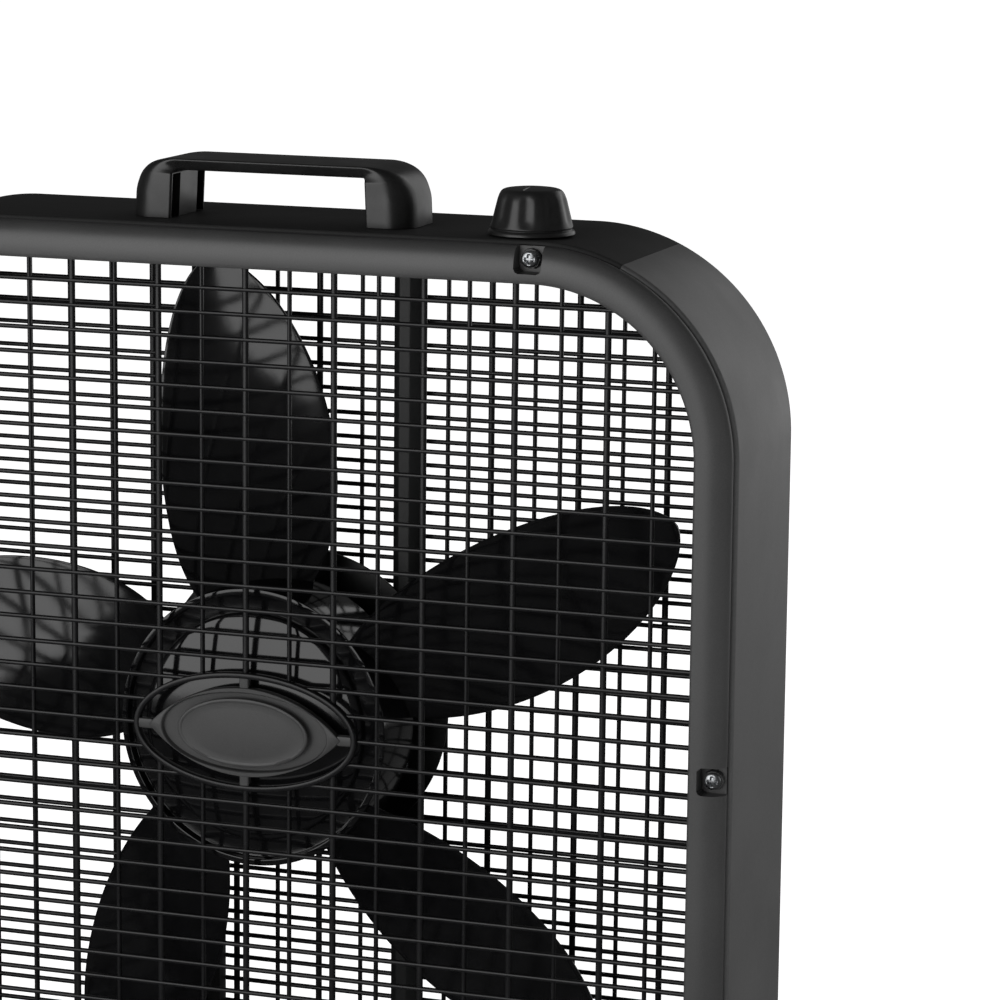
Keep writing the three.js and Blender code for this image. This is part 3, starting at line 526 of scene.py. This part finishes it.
def centre_shells():
    """The oval ring, four tabs and the pointed plate with its sunken oval, which the badge stands in."""
    angle = np.linspace(0, TURN, 144, endpoint=False)
    front, back = FRONT_BARS - 2.0, FRONT_BARS + 2.6
    section = rectangle((-1.5, front), (1.5, back), 1.0)
    normal = np.column_stack([np.cos(angle) / 60.0, np.sin(angle) / 29.5])
    normal /= np.linalg.norm(normal, axis=1, keepdims=True)
    x = 60.0 * np.cos(angle)[:, None] + normal[:, :1] * section[:, 0]
    z = CENTRE + 29.5 * np.sin(angle)[:, None] + normal[:, 1:] * section[:, 0]
    ring = shell(np.stack([x, np.broadcast_to(section[:, 1], x.shape), z], -1), along=True)

    lens = lens_reach(angle, 53.0, 23.3)
    well = ellipse_reach(angle, 45.5, 20.6)
    sunk = 2.4
    plate = stacked([
        (0.02 * lens, front + sunk), (well - 0.6, front + sunk), (well - 0.3, front + sunk - 0.3),
        (well, front + 0.4), (well + 0.5, front), (lens * 0.985, front), (lens * 0.997, front + 0.3),
        (lens, front + 0.8), (lens, back - 0.4), (lens * 0.99, back), (0.02 * lens, back),
    ])
    tab_front, tab_half = front + 0.6, 2.6
    beside = rectangle((tab_front, CENTRE - tab_half), (back, CENTRE + tab_half), 0.8)
    above = rectangle((-tab_half, tab_front), (tab_half, back), 0.8)
    tabs = []
    for side in (-1, 1):
        low, high = sorted((side * 51.0, side * 60.0))
        tabs.append(prism(beside, "x", low, high))
        low, high = sorted((side * 22.0, side * 29.5))
        tabs.append(prism(above, "z", CENTRE + low, CENTRE + high))
    return [ring, plate, *tabs]


def make_grilles():
    """Each grille is one moulding: bezel, bars and ribs, with the oval in the middle of the front one."""
    oval = (60.0, 29.5)
    front = [(BEZEL_PLASTIC, [bezel(FRONT_BARS + BAR_DEPTH, -1)])]
    centre = centre_shells()
    # The bars, ribs and oval ring use the bezel's plastic coloured darker, as painted shade.
    front.append((BAR_SHADE_PLASTIC, grille_bars(FRONT_BARS, hole=oval) + centre[:1]))
    front.append((BADGE_PLASTIC, centre[1:]))
    make_piece("front_grille_moulding", "frame", ["front_grille"], front)
    rear_bars = grille_bars(REAR_BARS, (REAR_RIB_SHIFT, REAR_BAR_RISE))
    # The rear bars and ribs carry the same painted shade.
    rear = [(BEZEL_PLASTIC, [bezel(REAR_BARS, 1)]), (BAR_SHADE_PLASTIC, rear_bars)]
    make_piece("rear_grille_moulding", "frame", ["rear_grille"], rear)


def make_badge():
    """A blank oval plate with a raised border and a slightly domed face."""
    angle = np.linspace(0, TURN, 144, endpoint=False)
    edge = ellipse_reach(angle, 36.0, 18.0)
    front, back = FRONT_BARS - 3.9, FRONT_BARS - 2.3
    rows = [(edge * 0.99, back), (edge, back - 0.3), (edge, front + 0.9), (edge - 0.3, front + 0.35)]
    rows += [(edge - 0.9, front + 0.1), (edge - 1.8, front + 0.1), (edge - 2.2, front + 0.35)]
    rows += [(share * (edge - 2.6), front + 0.4 * share**2) for share in (1.0, 0.8, 0.6, 0.4, 0.2, 0.02)]
    plate = stacked([(0.02 * edge, back), *rows])
    make_piece("badge_oval", "frame", ["badge_plate"], [(BADGE_PLASTIC, [plate])])


# ---- screws ----
def screw(place, out, head, height, reach):
    """A pan-head screw: a shank, a domed head over `height`, and a cross recess that sinks the middle of the
    head. `place` is the underside of the head and `out` the direction its face looks."""
    out = np.asarray(out, float)
    side = np.array([0, 0, 1.0]) if abs(out[2]) < 0.5 else np.array([0, 1.0, 0])
    other = np.cross(out, side)
    angle = np.linspace(0, TURN, 48, endpoint=False)
    dome = head * np.sin(np.linspace(math.pi / 2, 0.012, 15))
    radius = np.concatenate([[0.4, 1.7, 1.7, head - 0.2, head], dome])
    rise = height * (0.42 + 0.58 * np.sqrt(np.maximum(1 - (dome / head) ** 2, 0)))
    along = np.concatenate([[-reach, 0.9 - reach, 0.0, 0.0, 0.15], rise])
    u = np.outer(radius, np.cos(angle))
    v = np.outer(radius, np.sin(angle))
    arm, slot = 0.56 * head, 0.17 * head
    level, upright = np.abs(u), np.abs(v)
    across = np.minimum(
        np.maximum(level / arm, upright / slot), np.maximum(upright / arm, level / slot)
    )
    sink = np.clip((1.15 - across) / 0.3, 0, 1) * 0.5 * height
    sink[:5] = 0
    depth = along[:, None] - sink
    return shell(np.asarray(place) + u[..., None] * side + v[..., None] * other + depth[..., None] * out)


def make_screws():
    """Every screw of the housing, rails, motor, handle and feet. A row holds the place under the head, the
    way the head looks, the head's radius and height, and the shank's length."""
    forward, rearward, down = (0, -1, 0), (0, 1, 0), (0, 0, -1)
    boss = 4.5  # a grille's screw boss, above the bezel's foot
    rows = {}
    for place, (x, z) in GRILLE_SCREWS.items():
        rows[f"front_screw_{place}"] = ((x, -RIM_EDGE - boss, CENTRE + z), forward, 4.2, 2.8, 11)
        rows[f"rear_screw_{place}"] = ((x, RIM_EDGE + boss, CENTRE + z), rearward, 4.2, 2.8, 11)
    for side, sx in (("left", -1), ("right", 1)):
        for level, sz in (("lower", -1), ("upper", 1)):
            height = CENTRE + sz * (HALF - 7)
            place = (sx * RAIL_X, RIM_EDGE, height)
            rows[f"rail_screw_{level}_{side}"] = (place, rearward, 3.8, 2.4, 9)
            place = (sx * RAIL_X, PLATE_SEAT, CENTRE + sz * PLATE_SCREW_RISE)
            rows[f"plate_screw_{level}_{side}"] = (place, forward, 3.8, 2.4, 8)
        place = (sx * BOLT_REACH, -14.6, CENTRE)
        rows[f"motor_bolt_{side}"] = (place, forward, 3.6, 2.4, 52)
        place = (HANDLE_X + sx * HANDLE_SCREW_REACH, HANDLE_SCREW_Y, CEILING)
        rows[f"handle_screw_{side}"] = (place, down, 4.0, 2.4, 14)
        for end, sy in (("front", -1), ("rear", 1)):
            place = (sx * FOOT_X, sy * FOOT_SCREW_Y, 6.7)
            rows[f"foot_screw_{side}_{end}"] = (place, down, 4.0, 2.4, 15)
    for name, row in rows.items():
        make_piece(f"{name}_head", "frame", [name], [(ZINC, [screw(*row)])])


# ---- fan ----
def blade(turn):
    """A leaf-shaped blade. Over the radius its half arc is 43 (1 - ((r - 145) / 95)^2)^0.6, it is steepest at
    the root, sweeps to the rear and turns back towards the tip. Its section is a cambered plate with round
    edges, walked once round by an angle."""
    root = HUB_RADIUS - 1.5
    widest, widest_radius, fade = 43, 145, 95
    half_thick, camber_rise = 1.1, 3.5
    tip_pitch, extra_pitch = 0.22, 0.46
    tip_y, root_lead = 11.65, 28
    share = 1 - (1 - np.linspace(0, 1, 72)) ** 2.0
    radius = (root + (FAN_RADIUS - 0.02 - root) * share)[:, None]
    outward = (radius - root) / (FAN_RADIUS - root)
    half = widest * (1 - ((radius - widest_radius) / fade) ** 2) ** 0.6
    walk = np.linspace(0, TURN, 60, endpoint=False)[None, :]
    across = 0.5 * np.cos(walk)
    thick = half_thick * np.sign(np.sin(walk)) * np.abs(np.sin(walk)) ** 0.35
    chord = 2 * half * across
    pitch = tip_pitch + extra_pitch * (1 - outward) ** 2
    camber = camber_rise * (1 - 4 * across**2) * half / widest
    middle = tip_y - root_lead * (1 - outward) ** 1.7
    y = middle + pitch * chord + camber + thick
    angle = np.radians(-5 - 5 * outward) + chord / radius + turn
    return shell(np.stack([radius * np.sin(angle), y, CENTRE + radius * np.cos(angle)], -1))


def make_fan():
    """Five blades on a drum hub, the domed cap in front of it, and the nut that holds it on the shaft."""
    axis = (0.0, CENTRE)
    hub = rounded([
        (HUB_RADIUS - 3.5, -35.4), (HUB_RADIUS, -35.4), (HUB_RADIUS + 0.8, 5.0), (HUB_RADIUS - 2.0, 5.0),
        (HUB_RADIUS - 2.5, -28.0), (11.0, -26.0), (10.0, -22.5), (4.1, -22.5), (4.1, -29.5), (62.0, -30.5),
        (HUB_RADIUS - 3.5, -30.5),
    ], 0.7)
    shells = [turned(hub, axis, steps=128, ring=True)]
    shells += [blade(TURN * k / 5) for k in range(5)]
    make_piece("fan_moulding", "fan_rotor", ["fan_blade"], [(BLADE_PLASTIC, shells)])
    dome = np.linspace(0.3, 58.5, 24)
    face = np.column_stack([dome, -38.8 + 4.6 * (dome / 58.5) ** 2.4])
    edge = [(59.6, -33.4), (60.0, -32.6), (60.0, -31.0), (57.5, -31.0), (57.2, -31.8)]
    inside = np.column_stack([dome[::-1] * 0.96, -36.3 + 4.2 * (dome[::-1] / 58.5) ** 2.4])
    cap = turned(np.vstack([face, edge, inside]), axis, steps=128)
    make_piece("hub_cap_dome", "fan_rotor", ["hub_cap"], [(BLADE_PLASTIC, [cap])])
    nut = rounded([(4.2, -32.6), (9.0, -32.6), (9.0, -30.0), (4.2, -30.0)], 0.4)
    nut = turned(nut, axis, steps=6, ring=True)
    make_piece("blade_nut_hexagon", "fan_rotor", ["blade_nut"], [(ZINC, [nut])])


# ---- motor ----
def make_motor():
    """Pressed end covers, laminated stator and windings, and the round plate that carries them."""
    axis = (0.0, CENTRE)
    front = rounded([
        (9.5, -20.0), (12.0, -20.0), (13.0, -15.0), (40.0, -14.0), (46.0, -10.0), (46.0, -2.3), (44.0, -2.3),
        (44.0, -9.0), (39.5, -12.0), (12.0, -13.0), (9.5, -13.0),
    ], 1.2)
    rear = rounded([
        (9.5, 35.0), (12.0, 35.0), (13.0, 33.5), (46.0, 33.5), (46.0, 20.3), (44.0, 20.3), (44.0, 31.0),
        (12.0, 31.0), (12.0, 28.0), (9.5, 28.0),
    ], 1.0)
    stator = rounded([(20.5, -2.0), (45.0, -2.0), (45.0, 20.0), (20.5, 20.0)], 0.3)
    coil_front = rounded([(22.0, -11.0), (37.0, -11.0), (37.0, -2.3), (22.0, -2.3)], 3.5)
    coil_rear = rounded([(22.0, 20.3), (37.0, 20.3), (37.0, 29.5), (22.0, 29.5)], 3.5)
    for name, profile, slot, material in (
        ("motor_front_cover", front, "motor_steel", GALVANISED),
        ("motor_rear_cover", rear, "motor_steel", GALVANISED),
        ("stator_core", stator, "core_steel", LAMINATED),
        ("front_winding", coil_front, "winding_copper", COPPER),
        ("rear_winding", coil_rear, "winding_copper", COPPER),
    ):
        skin = turned(profile, axis, steps=96, ring=True)
        make_piece(f"{name}_round", "frame", [name], [(material, [skin])])
    hole = 14.0
    disc = rounded([
        (hole, PLATE_FRONT), (PLATE_RADIUS, PLATE_FRONT), (PLATE_RADIUS, PLATE_BACK), (hole, PLATE_BACK),
    ], 0.4)
    plate = turned(disc, axis, steps=128, ring=True)
    make_piece("motor_plate_disc", "frame", ["motor_plate"], [(DIPPED_STEEL, [plate])])


def make_rails():
    """Two upright channels that the motor plate is screwed to. A flat bead runs down each one left of its
    middle, its flanks fall to the edges, and a tab behind closes each end."""
    half_width, wall, fold, tab = 7.5, 1.5, 1.8, 14
    front, back = RAIL_FRONT, RAIL_BACK
    reach = HALF - 1.5
    for side, x in (("left", -RAIL_X), ("right", RAIL_X)):
        low, high = x - half_width, x + half_width
        bead_low, bead_high = x - 3.8, x + 1.7
        channel = rounded([
            (low, front + fold), (bead_low, front), (bead_high, front), (high, front + fold), (high, back),
            (high - wall, back), (high - wall, front + fold + 1), (bead_high, front + wall),
            (bead_low, front + wall), (low + wall, front + fold + 1), (low + wall, back), (low, back),
        ], [0.8, 0.5, 0.5, 0.8, 0.3, 0.3, 0.5, 0.5, 0.5, 0.5, 0.3, 0.3])
        shells = [prism(channel, "z", CENTRE - reach, CENTRE + reach, 0.1)]
        for z in (CENTRE - reach, CENTRE + reach - tab):
            shells.append(block((low, back - wall, z), (high, back, z + tab), 0.6))
        dressed = [(DIPPED_STEEL, shells)]
        make_piece(f"motor_rail_{side}_channel", "frame", [f"motor_rail_{side}"], dressed)


def smooth_path(points, count):
    """A Catmull-Rom curve through the points, sampled evenly over its spans."""
    points = np.asarray(points, float)
    padded = np.vstack([2 * points[0] - points[1], points, 2 * points[-1] - points[-2]])
    place = np.linspace(0, len(points) - 1 - 1e-9, count)
    k = place.astype(int)
    t = (place - k)[:, None]
    a, b, c, d = padded[k], padded[k + 1], padded[k + 2], padded[k + 3]
    return 0.5 * (2 * b + (c - a) * t + (2 * a - 5 * b + 4 * c - d) * t**2 + (3 * b - a - 3 * c + d) * t**3)


def make_leads():
    """Two insulated wires twisted round each other along one path, from the switch to the motor."""
    inside = 42  # how far back the leads run in the right rail
    from_switch = [(119.6, -26, TOP - 9), (102, -10, TOP - 8), (86, 22, TOP - 8), (74, 41, TOP - 16)]
    down_rail = [
        (66, inside, TOP - 30), (RAIL_X, inside, TOP - 48), (RAIL_X, inside, CENTRE + 140),
        (RAIL_X, inside, CENTRE + 60),
    ]
    to_motor = [
        (RAIL_X, 40, CENTRE + 51), (RAIL_X + 0.5, 34, CENTRE + 47.5), (RAIL_X + 3, 27, CENTRE + 41),
        (66, 26, CENTRE + 22), (60, 26, CENTRE + 8), (48, 26, CENTRE + 2),
    ]
    path = smooth_path(from_switch + down_rail + to_motor, 560)
    tangent = np.gradient(path, axis=0)
    tangent /= np.linalg.norm(tangent, axis=1, keepdims=True)
    first = np.cross(tangent, (1.0, 1.0, -1.0))
    first /= np.linalg.norm(first, axis=1, keepdims=True)
    second = np.cross(tangent, first)
    length = np.concatenate([[0], np.cumsum(np.linalg.norm(np.diff(path, axis=0), axis=1))])
    round_wire = np.linspace(0, TURN, 10, endpoint=False)
    wire, lay = 1.3, 18.0  # a wire's radius, and the length of one twist
    shells = []
    for start in (0.0, math.pi):
        twist = (TURN * length / lay + start)[:, None]
        centre = path + wire * (np.cos(twist) * first + np.sin(twist) * second)
        skin = (
            centre[:, None]
            + 0.97 * wire * np.cos(round_wire)[None, :, None] * first[:, None]
            + 0.97 * wire * np.sin(round_wire)[None, :, None] * second[:, None]
        )
        shells.append(shell(skin))
    make_piece("motor_leads_twisted", "frame", ["motor_leads"], [(LEAD_PVC, shells)])


# ---- handle and knob ----
def handle_half(side):
    """Matching outer and inner outlines of half the arch, from its foot to the middle of the bar. The leg is
    nearly straight, then its outer side bends into the bar by a quadratic curve."""
    low, high, under = 0.3, 30.5, 24.5  # the foot, and the bar's upper and lower side, above the panel
    edge, leg_width, straight, bar_end, corner = 76.5, 23.5, 12, 50, 2
    leg = np.array([0.0, 0.12, 0.3, 0.5, 0.7, 0.85, 0.95])[:, None]
    shoulder = np.array([edge - 0.5, low + straight])
    outer = [np.array([edge, low]) * (1 - leg) + shoulder * leg]
    t = np.linspace(0, 1, 26)[:, None]
    outer.append((1 - t) ** 2 * shoulder + 2 * t * (1 - t) * [74.0, high] + t**2 * [bar_end, high])
    outer.append(np.column_stack([np.linspace(bar_end, 0, 12)[1:], np.full(11, high)]))
    rise = np.concatenate([leg[:, 0] * straight, np.linspace(straight, 21.9, 8)]) + low
    inner = [np.column_stack([edge - leg_width - (rise - low) / 22.2, rise])]
    near = edge - leg_width - 1
    turn = np.linspace(0, math.pi / 2, 18)
    curve = [near - corner * (1 - np.cos(turn)), under - corner * (1 - np.sin(turn))]
    inner.append(np.column_stack(curve))
    inner.append(np.column_stack([np.linspace(near - corner, 0, 12)[1:], np.full(11, under)]))
    outer, inner = np.vstack(outer), np.vstack(inner)
    return outer * [side, 1], inner * [side, 1]


def make_handle():
    """A section of rounded rectangles carried round the arch, with two slots sunk in the inner side of each
    leg. The outer corners' radius follows the arch's thickness, and the bar's front edge is undercut."""
    front, back = -33.0, 11.0
    bar_thick, slot_depth, slot_wall = 6, 14.5, 4.5
    undercut, undercut_start, undercut_fade = 3.2, -20, 12
    left_outer, left_inner = handle_half(-1)
    right_outer, right_inner = handle_half(1)
    outer = np.vstack([left_outer, right_outer[-2::-1]])
    inner = np.vstack([left_inner, right_inner[-2::-1]])
    thick = np.linalg.norm(outer - inner, axis=1)
    across = (outer - inner) / thick[:, None]
    slots = [(-31.2, -21.5), (0.5, 9.2)]
    edges = np.array([y + step for slot in slots for y in slot for step in (-0.05, 0.05)])
    inside_y = np.sort(np.concatenate([edges, np.linspace(front + 1.2, back - 1.2, 14)]))
    quarter = np.linspace(0, math.pi / 2, 9)[None, :]
    full = thick[:, None]
    small, large = 1.2, np.clip(1.5 + 0.7 * (full - bar_thick), 1.5, 13)
    count = len(thick)
    depth = [np.zeros((count, len(inside_y)))]
    y = [np.broadcast_to(inside_y, (count, len(inside_y)))]
    depth.append(small - small * np.cos(quarter) + np.zeros((count, 1)))
    y.append(back - small + small * np.sin(quarter) + np.zeros((count, 1)))
    depth.append(full - large + large * np.sin(quarter))
    y.append(back - large + large * np.cos(quarter))
    depth.append(full - large + large * np.cos(quarter))
    y.append(front + large - large * np.sin(quarter))
    depth.append(small - small * np.sin(quarter) + np.zeros((count, 1)))
    y.append(front + small - small * np.cos(quarter) + np.zeros((count, 1)))
    in_slot = np.any([(y[0] > a) & (y[0] < b) for a, b in slots], axis=0)
    in_leg = (inner[:, 1] < 22.4)[:, None]
    depth[0] = np.where(in_slot & in_leg, np.minimum(slot_depth, full - slot_wall), 0.0)
    depth, y = np.hstack(depth), np.hstack(y)
    slender = np.clip((20 - full) / 14, 0, 1)  # one along the bar, none down the legs
    near_front = np.clip((undercut_start - y) / undercut_fade, 0, 1)
    y = y + undercut * slender * (1 - depth / full) * near_front
    x = HANDLE_X + inner[:, :1] + across[:, :1] * depth
    z = TOP + inner[:, 1:] + across[:, 1:] * depth
    arch = shell(np.stack([x, y, z], -1))
    make_piece("handle_arch", "frame", ["handle"], [(HANDLE_PLASTIC, [arch])], sharp=50)


def make_knob():
    """A tapered knob whose radius is cut by nine flutes, deepest at mid height, over a plain skirt, with a
    short pointer groove in its crown."""
    profile = rounded([
        (19.5, 0.8), (21.8, 0.8), (21.3, 2.6), (20.0, 3.4), (20.7, 4.4), (17.0, 19.2), (14.8, 22.8),
        (8.0, 23.7), (0.3, 24.0),
    ], [0.3, 0.5, 0.8, 0.4, 0.5, 2.5, 2.5, 4.0, 0.1], closed=False, steps=6)
    profile = np.vstack([[(11.0, 8.0), (11.0, 0.8)], profile])
    extra = np.linspace(0, 1, 9)[1:-1]
    climb = np.argmax(np.diff(profile[:, 1]) * (profile[:-1, 0] > 15)) + 1
    between = profile[climb - 1] + extra[:, None] * (profile[climb] - profile[climb - 1])
    profile = np.vstack([profile[:climb], between, profile[climb:]])
    radius, rise = profile.T
    angle = np.linspace(0, TURN, 216, endpoint=False)
    flutes, flute_depth, flute_low, flute_high = 9, 1.1, 4.2, 23.2
    ends = np.clip((rise - flute_low) / 4, 0, 1) * np.clip((flute_high - rise) / 5, 0, 1)
    depth = flute_depth * ends
    cut = (0.5 + 0.5 * np.cos(flutes * angle)) ** 1.5
    reach = radius[:, None] - depth[:, None] * cut * (radius[:, None] > 12)
    x = reach * np.cos(angle)
    y = reach * np.sin(angle)
    groove = np.clip((1.0 - np.abs(x)) / 0.4, 0, 1) * (y < -3) * (y > -12)
    z = rise[:, None] - 0.6 * groove * (rise[:, None] > 22.5)
    skin = shell(np.stack([KNOB[0] + x, KNOB[1] + y, TOP + z], -1))
    dressed = [(KNOB_PLASTIC, [skin])]
    make_piece("speed_knob_fluted", "knob", ["speed_knob"], dressed, sharp=45)


def make_switch():
    """The switch's case with its threaded bush and solder tags, and the hexagon nut over the panel."""
    x, y = KNOB
    deep = 19
    case = block((x - 24, y - 14, CEILING - deep), (x + 7, y + 14, CEILING), 1.5)
    bush = rounded([(3.3, CEILING - 1), (5.0, CEILING - 1), (5.0, TOP + 6), (3.3, TOP + 6)], 0.4)
    bush = turned(bush, KNOB, "z", 48, ring=True)
    tags = []
    for k in range(4):
        low, high = x - 20 + 7 * k, x - 19.2 + 7 * k
        tags.append(block((low, y - 3, CEILING - deep + 0.1), (high, y + 3, CEILING - deep + 1), 0.2))
    dressed = [(NYLON, [case, bush]), (ZINC, tags)]
    make_piece("switch_case", "frame", ["switch_body"], dressed)
    nut = rounded([(5.3, TOP + 0.3), (8.0, TOP + 0.3), (8.0, TOP + 3.0), (5.3, TOP + 3.0)], 0.4)
    nut = turned(nut, KNOB, "z", 6, ring=True)
    make_piece("switch_nut_hexagon", "frame", ["switch_nut"], [(ZINC, [nut])])


def make_capacitor():
    """The run capacitor's case on the front of the motor plate, and the strap at its left that holds it."""
    left, right, half_height = -66, -49.5, 23
    can = block((left, 12, CENTRE - half_height), (right, PLATE_SEAT, CENTRE + half_height), 3.0)
    strap = block((left - 5, PLATE_SEAT - 0.9, CENTRE - 5), (left + 0.5, PLATE_SEAT, CENTRE + 5), 0.3)
    dressed = [(CAPACITOR_CASE, [can]), (GALVANISED, [strap])]
    make_piece("run_capacitor_case", "frame", ["run_capacitor"], dressed)


# ---- base ----
def make_base():
    """Two feet with a low arch between their pads, and the grommet where the mains lead would enter."""
    side = rounded([
        (-65, 0), (-38, 0), (-33, 3), (33, 3), (38, 0), (65, 0), (65, 6), (60, 11), (56, 15.7), (-56, 15.7),
        (-60, 11), (-65, 6),
    ], 1.8)
    half_width = 20
    for name, x in (("left", -FOOT_X), ("right", FOOT_X)):
        foot = prism(side, "x", x - half_width, x + half_width, 0.8)
        make_piece(f"foot_{name}_moulded", "frame", [f"foot_{name}"], [(RUBBER, [foot])])
    wall = FLOOR_SHEET
    ring = rounded([
        (3.4, wall - 2.5), (9.0, wall - 2.5), (9.0, wall - 0.3), (6.0, wall - 0.3), (6.0, wall + 1.5),
        (8.0, wall + 1.5), (8.0, wall + 3.7), (3.4, wall + 3.7),
    ], 0.6)
    grommet = turned(ring, GROMMET, "z", 48, ring=True)
    make_piece("cord_grommet_ring", "frame", ["cord_grommet"], [(RUBBER, [grommet])])


def dress(material, *names):
    """Gives a procedural material to CAD nodes whose shape is already right."""
    for name in names:
        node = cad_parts[name]
        if not node.material_slots:
            node.data.materials.append(material)
        for place in node.material_slots:
            place.material = material


# ---- camera, floor and light ----
def make_camera():
    """A long lens from the front right, a little above the handle, level but for half a degree."""
    yaw, pitch, roll = (math.radians(a) for a in (19.071, 10.387, -0.589))
    forward = np.array([-math.sin(yaw) * math.cos(pitch), math.cos(yaw) * math.cos(pitch), -math.sin(pitch)])
    right = np.array([math.cos(yaw), math.sin(yaw), 0.0])
    down = np.cross(forward, right)
    x = math.cos(roll) * right + math.sin(roll) * down
    y = math.sin(roll) * right - math.cos(roll) * down
    lens = bpy.data.cameras.new("camera")
    lens.sensor_width, lens.lens = 36.0, 145.72
    lens.clip_start, lens.clip_end = 0.05, 100.0
    camera = bpy.data.objects.new("camera", lens)
    bpy.context.scene.collection.objects.link(camera)
    eye = np.array([780.885, -1907.335, 767.75]) * MM
    columns = np.column_stack([x, y, -forward, eye])
    camera.matrix_world = Matrix([*columns.tolist(), [0, 0, 0, 1]])
    bpy.context.scene.camera = camera


def make_floor():
    """A wide pale floor that shines a little by itself, as an evenly lit sweep of paper does."""
    reach = 40.0
    mesh = bpy.data.meshes.new("floor")
    corners = [(-reach, -reach, 0), (reach, -reach, 0), (reach, reach, 0), (-reach, reach, 0)]
    mesh.from_pydata(corners, [], [(0, 1, 2, 3)])
    material = bpy.data.materials.new("white_paper_sweep")
    material.use_nodes = True
    shader = material.node_tree.nodes["Principled BSDF"]
    shader.inputs["Base Color"].default_value = to_linear("#f4f4f4")
    shader.inputs["Roughness"].default_value = 0.9
    shader.inputs["Emission Color"].default_value = to_linear("#ffffff")
    shader.inputs["Emission Strength"].default_value = 1.0
    mesh.materials.append(material)
    floor = bpy.data.objects.new("floor", mesh)
    bpy.context.scene.collection.objects.link(floor)
    floor.visible_glossy = False


def softbox(name, azimuth, elevation, distance, size, power):
    """An area light aimed at the fan. Azimuth is counted from the front, towards the right."""
    light = bpy.data.lights.new(name, "AREA")
    light.shape = "RECTANGLE"
    light.size, light.size_y = size
    light.energy = power
    thing = bpy.data.objects.new(name, light)
    bpy.context.scene.collection.objects.link(thing)
    a, e = math.radians(azimuth), math.radians(elevation)
    back = np.array([math.sin(a) * math.cos(e), -math.cos(a) * math.cos(e), math.sin(e)])
    x = np.array([math.cos(a), math.sin(a), 0.0])
    place = np.array([0, 0, 0.35]) + back * distance
    columns = np.column_stack([x, np.cross(back, x), back, place])
    thing.matrix_world = Matrix([*columns.tolist(), [0, 0, 0, 1]])


def make_light():
    """A broad soft light at the front left, a weaker one behind at the right, and a dim room."""
    world = bpy.data.worlds.new("room")
    world.use_nodes = True
    background = world.node_tree.nodes["Background"]
    background.inputs["Color"].default_value = to_linear("#ffffff")
    background.inputs["Strength"].default_value = 0.07
    bpy.context.scene.world = world
    softbox("front_softbox", -24, 11, 3.0, (2.9, 2.4), 54)
    softbox("rear_right_softbox", 148, 14, 3.0, (3.0, 2.6), 20)
    bpy.context.scene.view_settings.view_transform = "Standard"


make_camera()
make_floor()
make_light()
make_housing()
make_grilles()
make_badge()
make_screws()
make_fan()
make_motor()
make_rails()
make_leads()
make_handle()
make_knob()
make_switch()
make_capacitor()
make_base()
dress(BRONZE, "front_bearing", "rear_bearing")
dress(LAMINATED, "rotor_core")
dress(GROUND_STEEL, "motor_shaft", "switch_shaft")
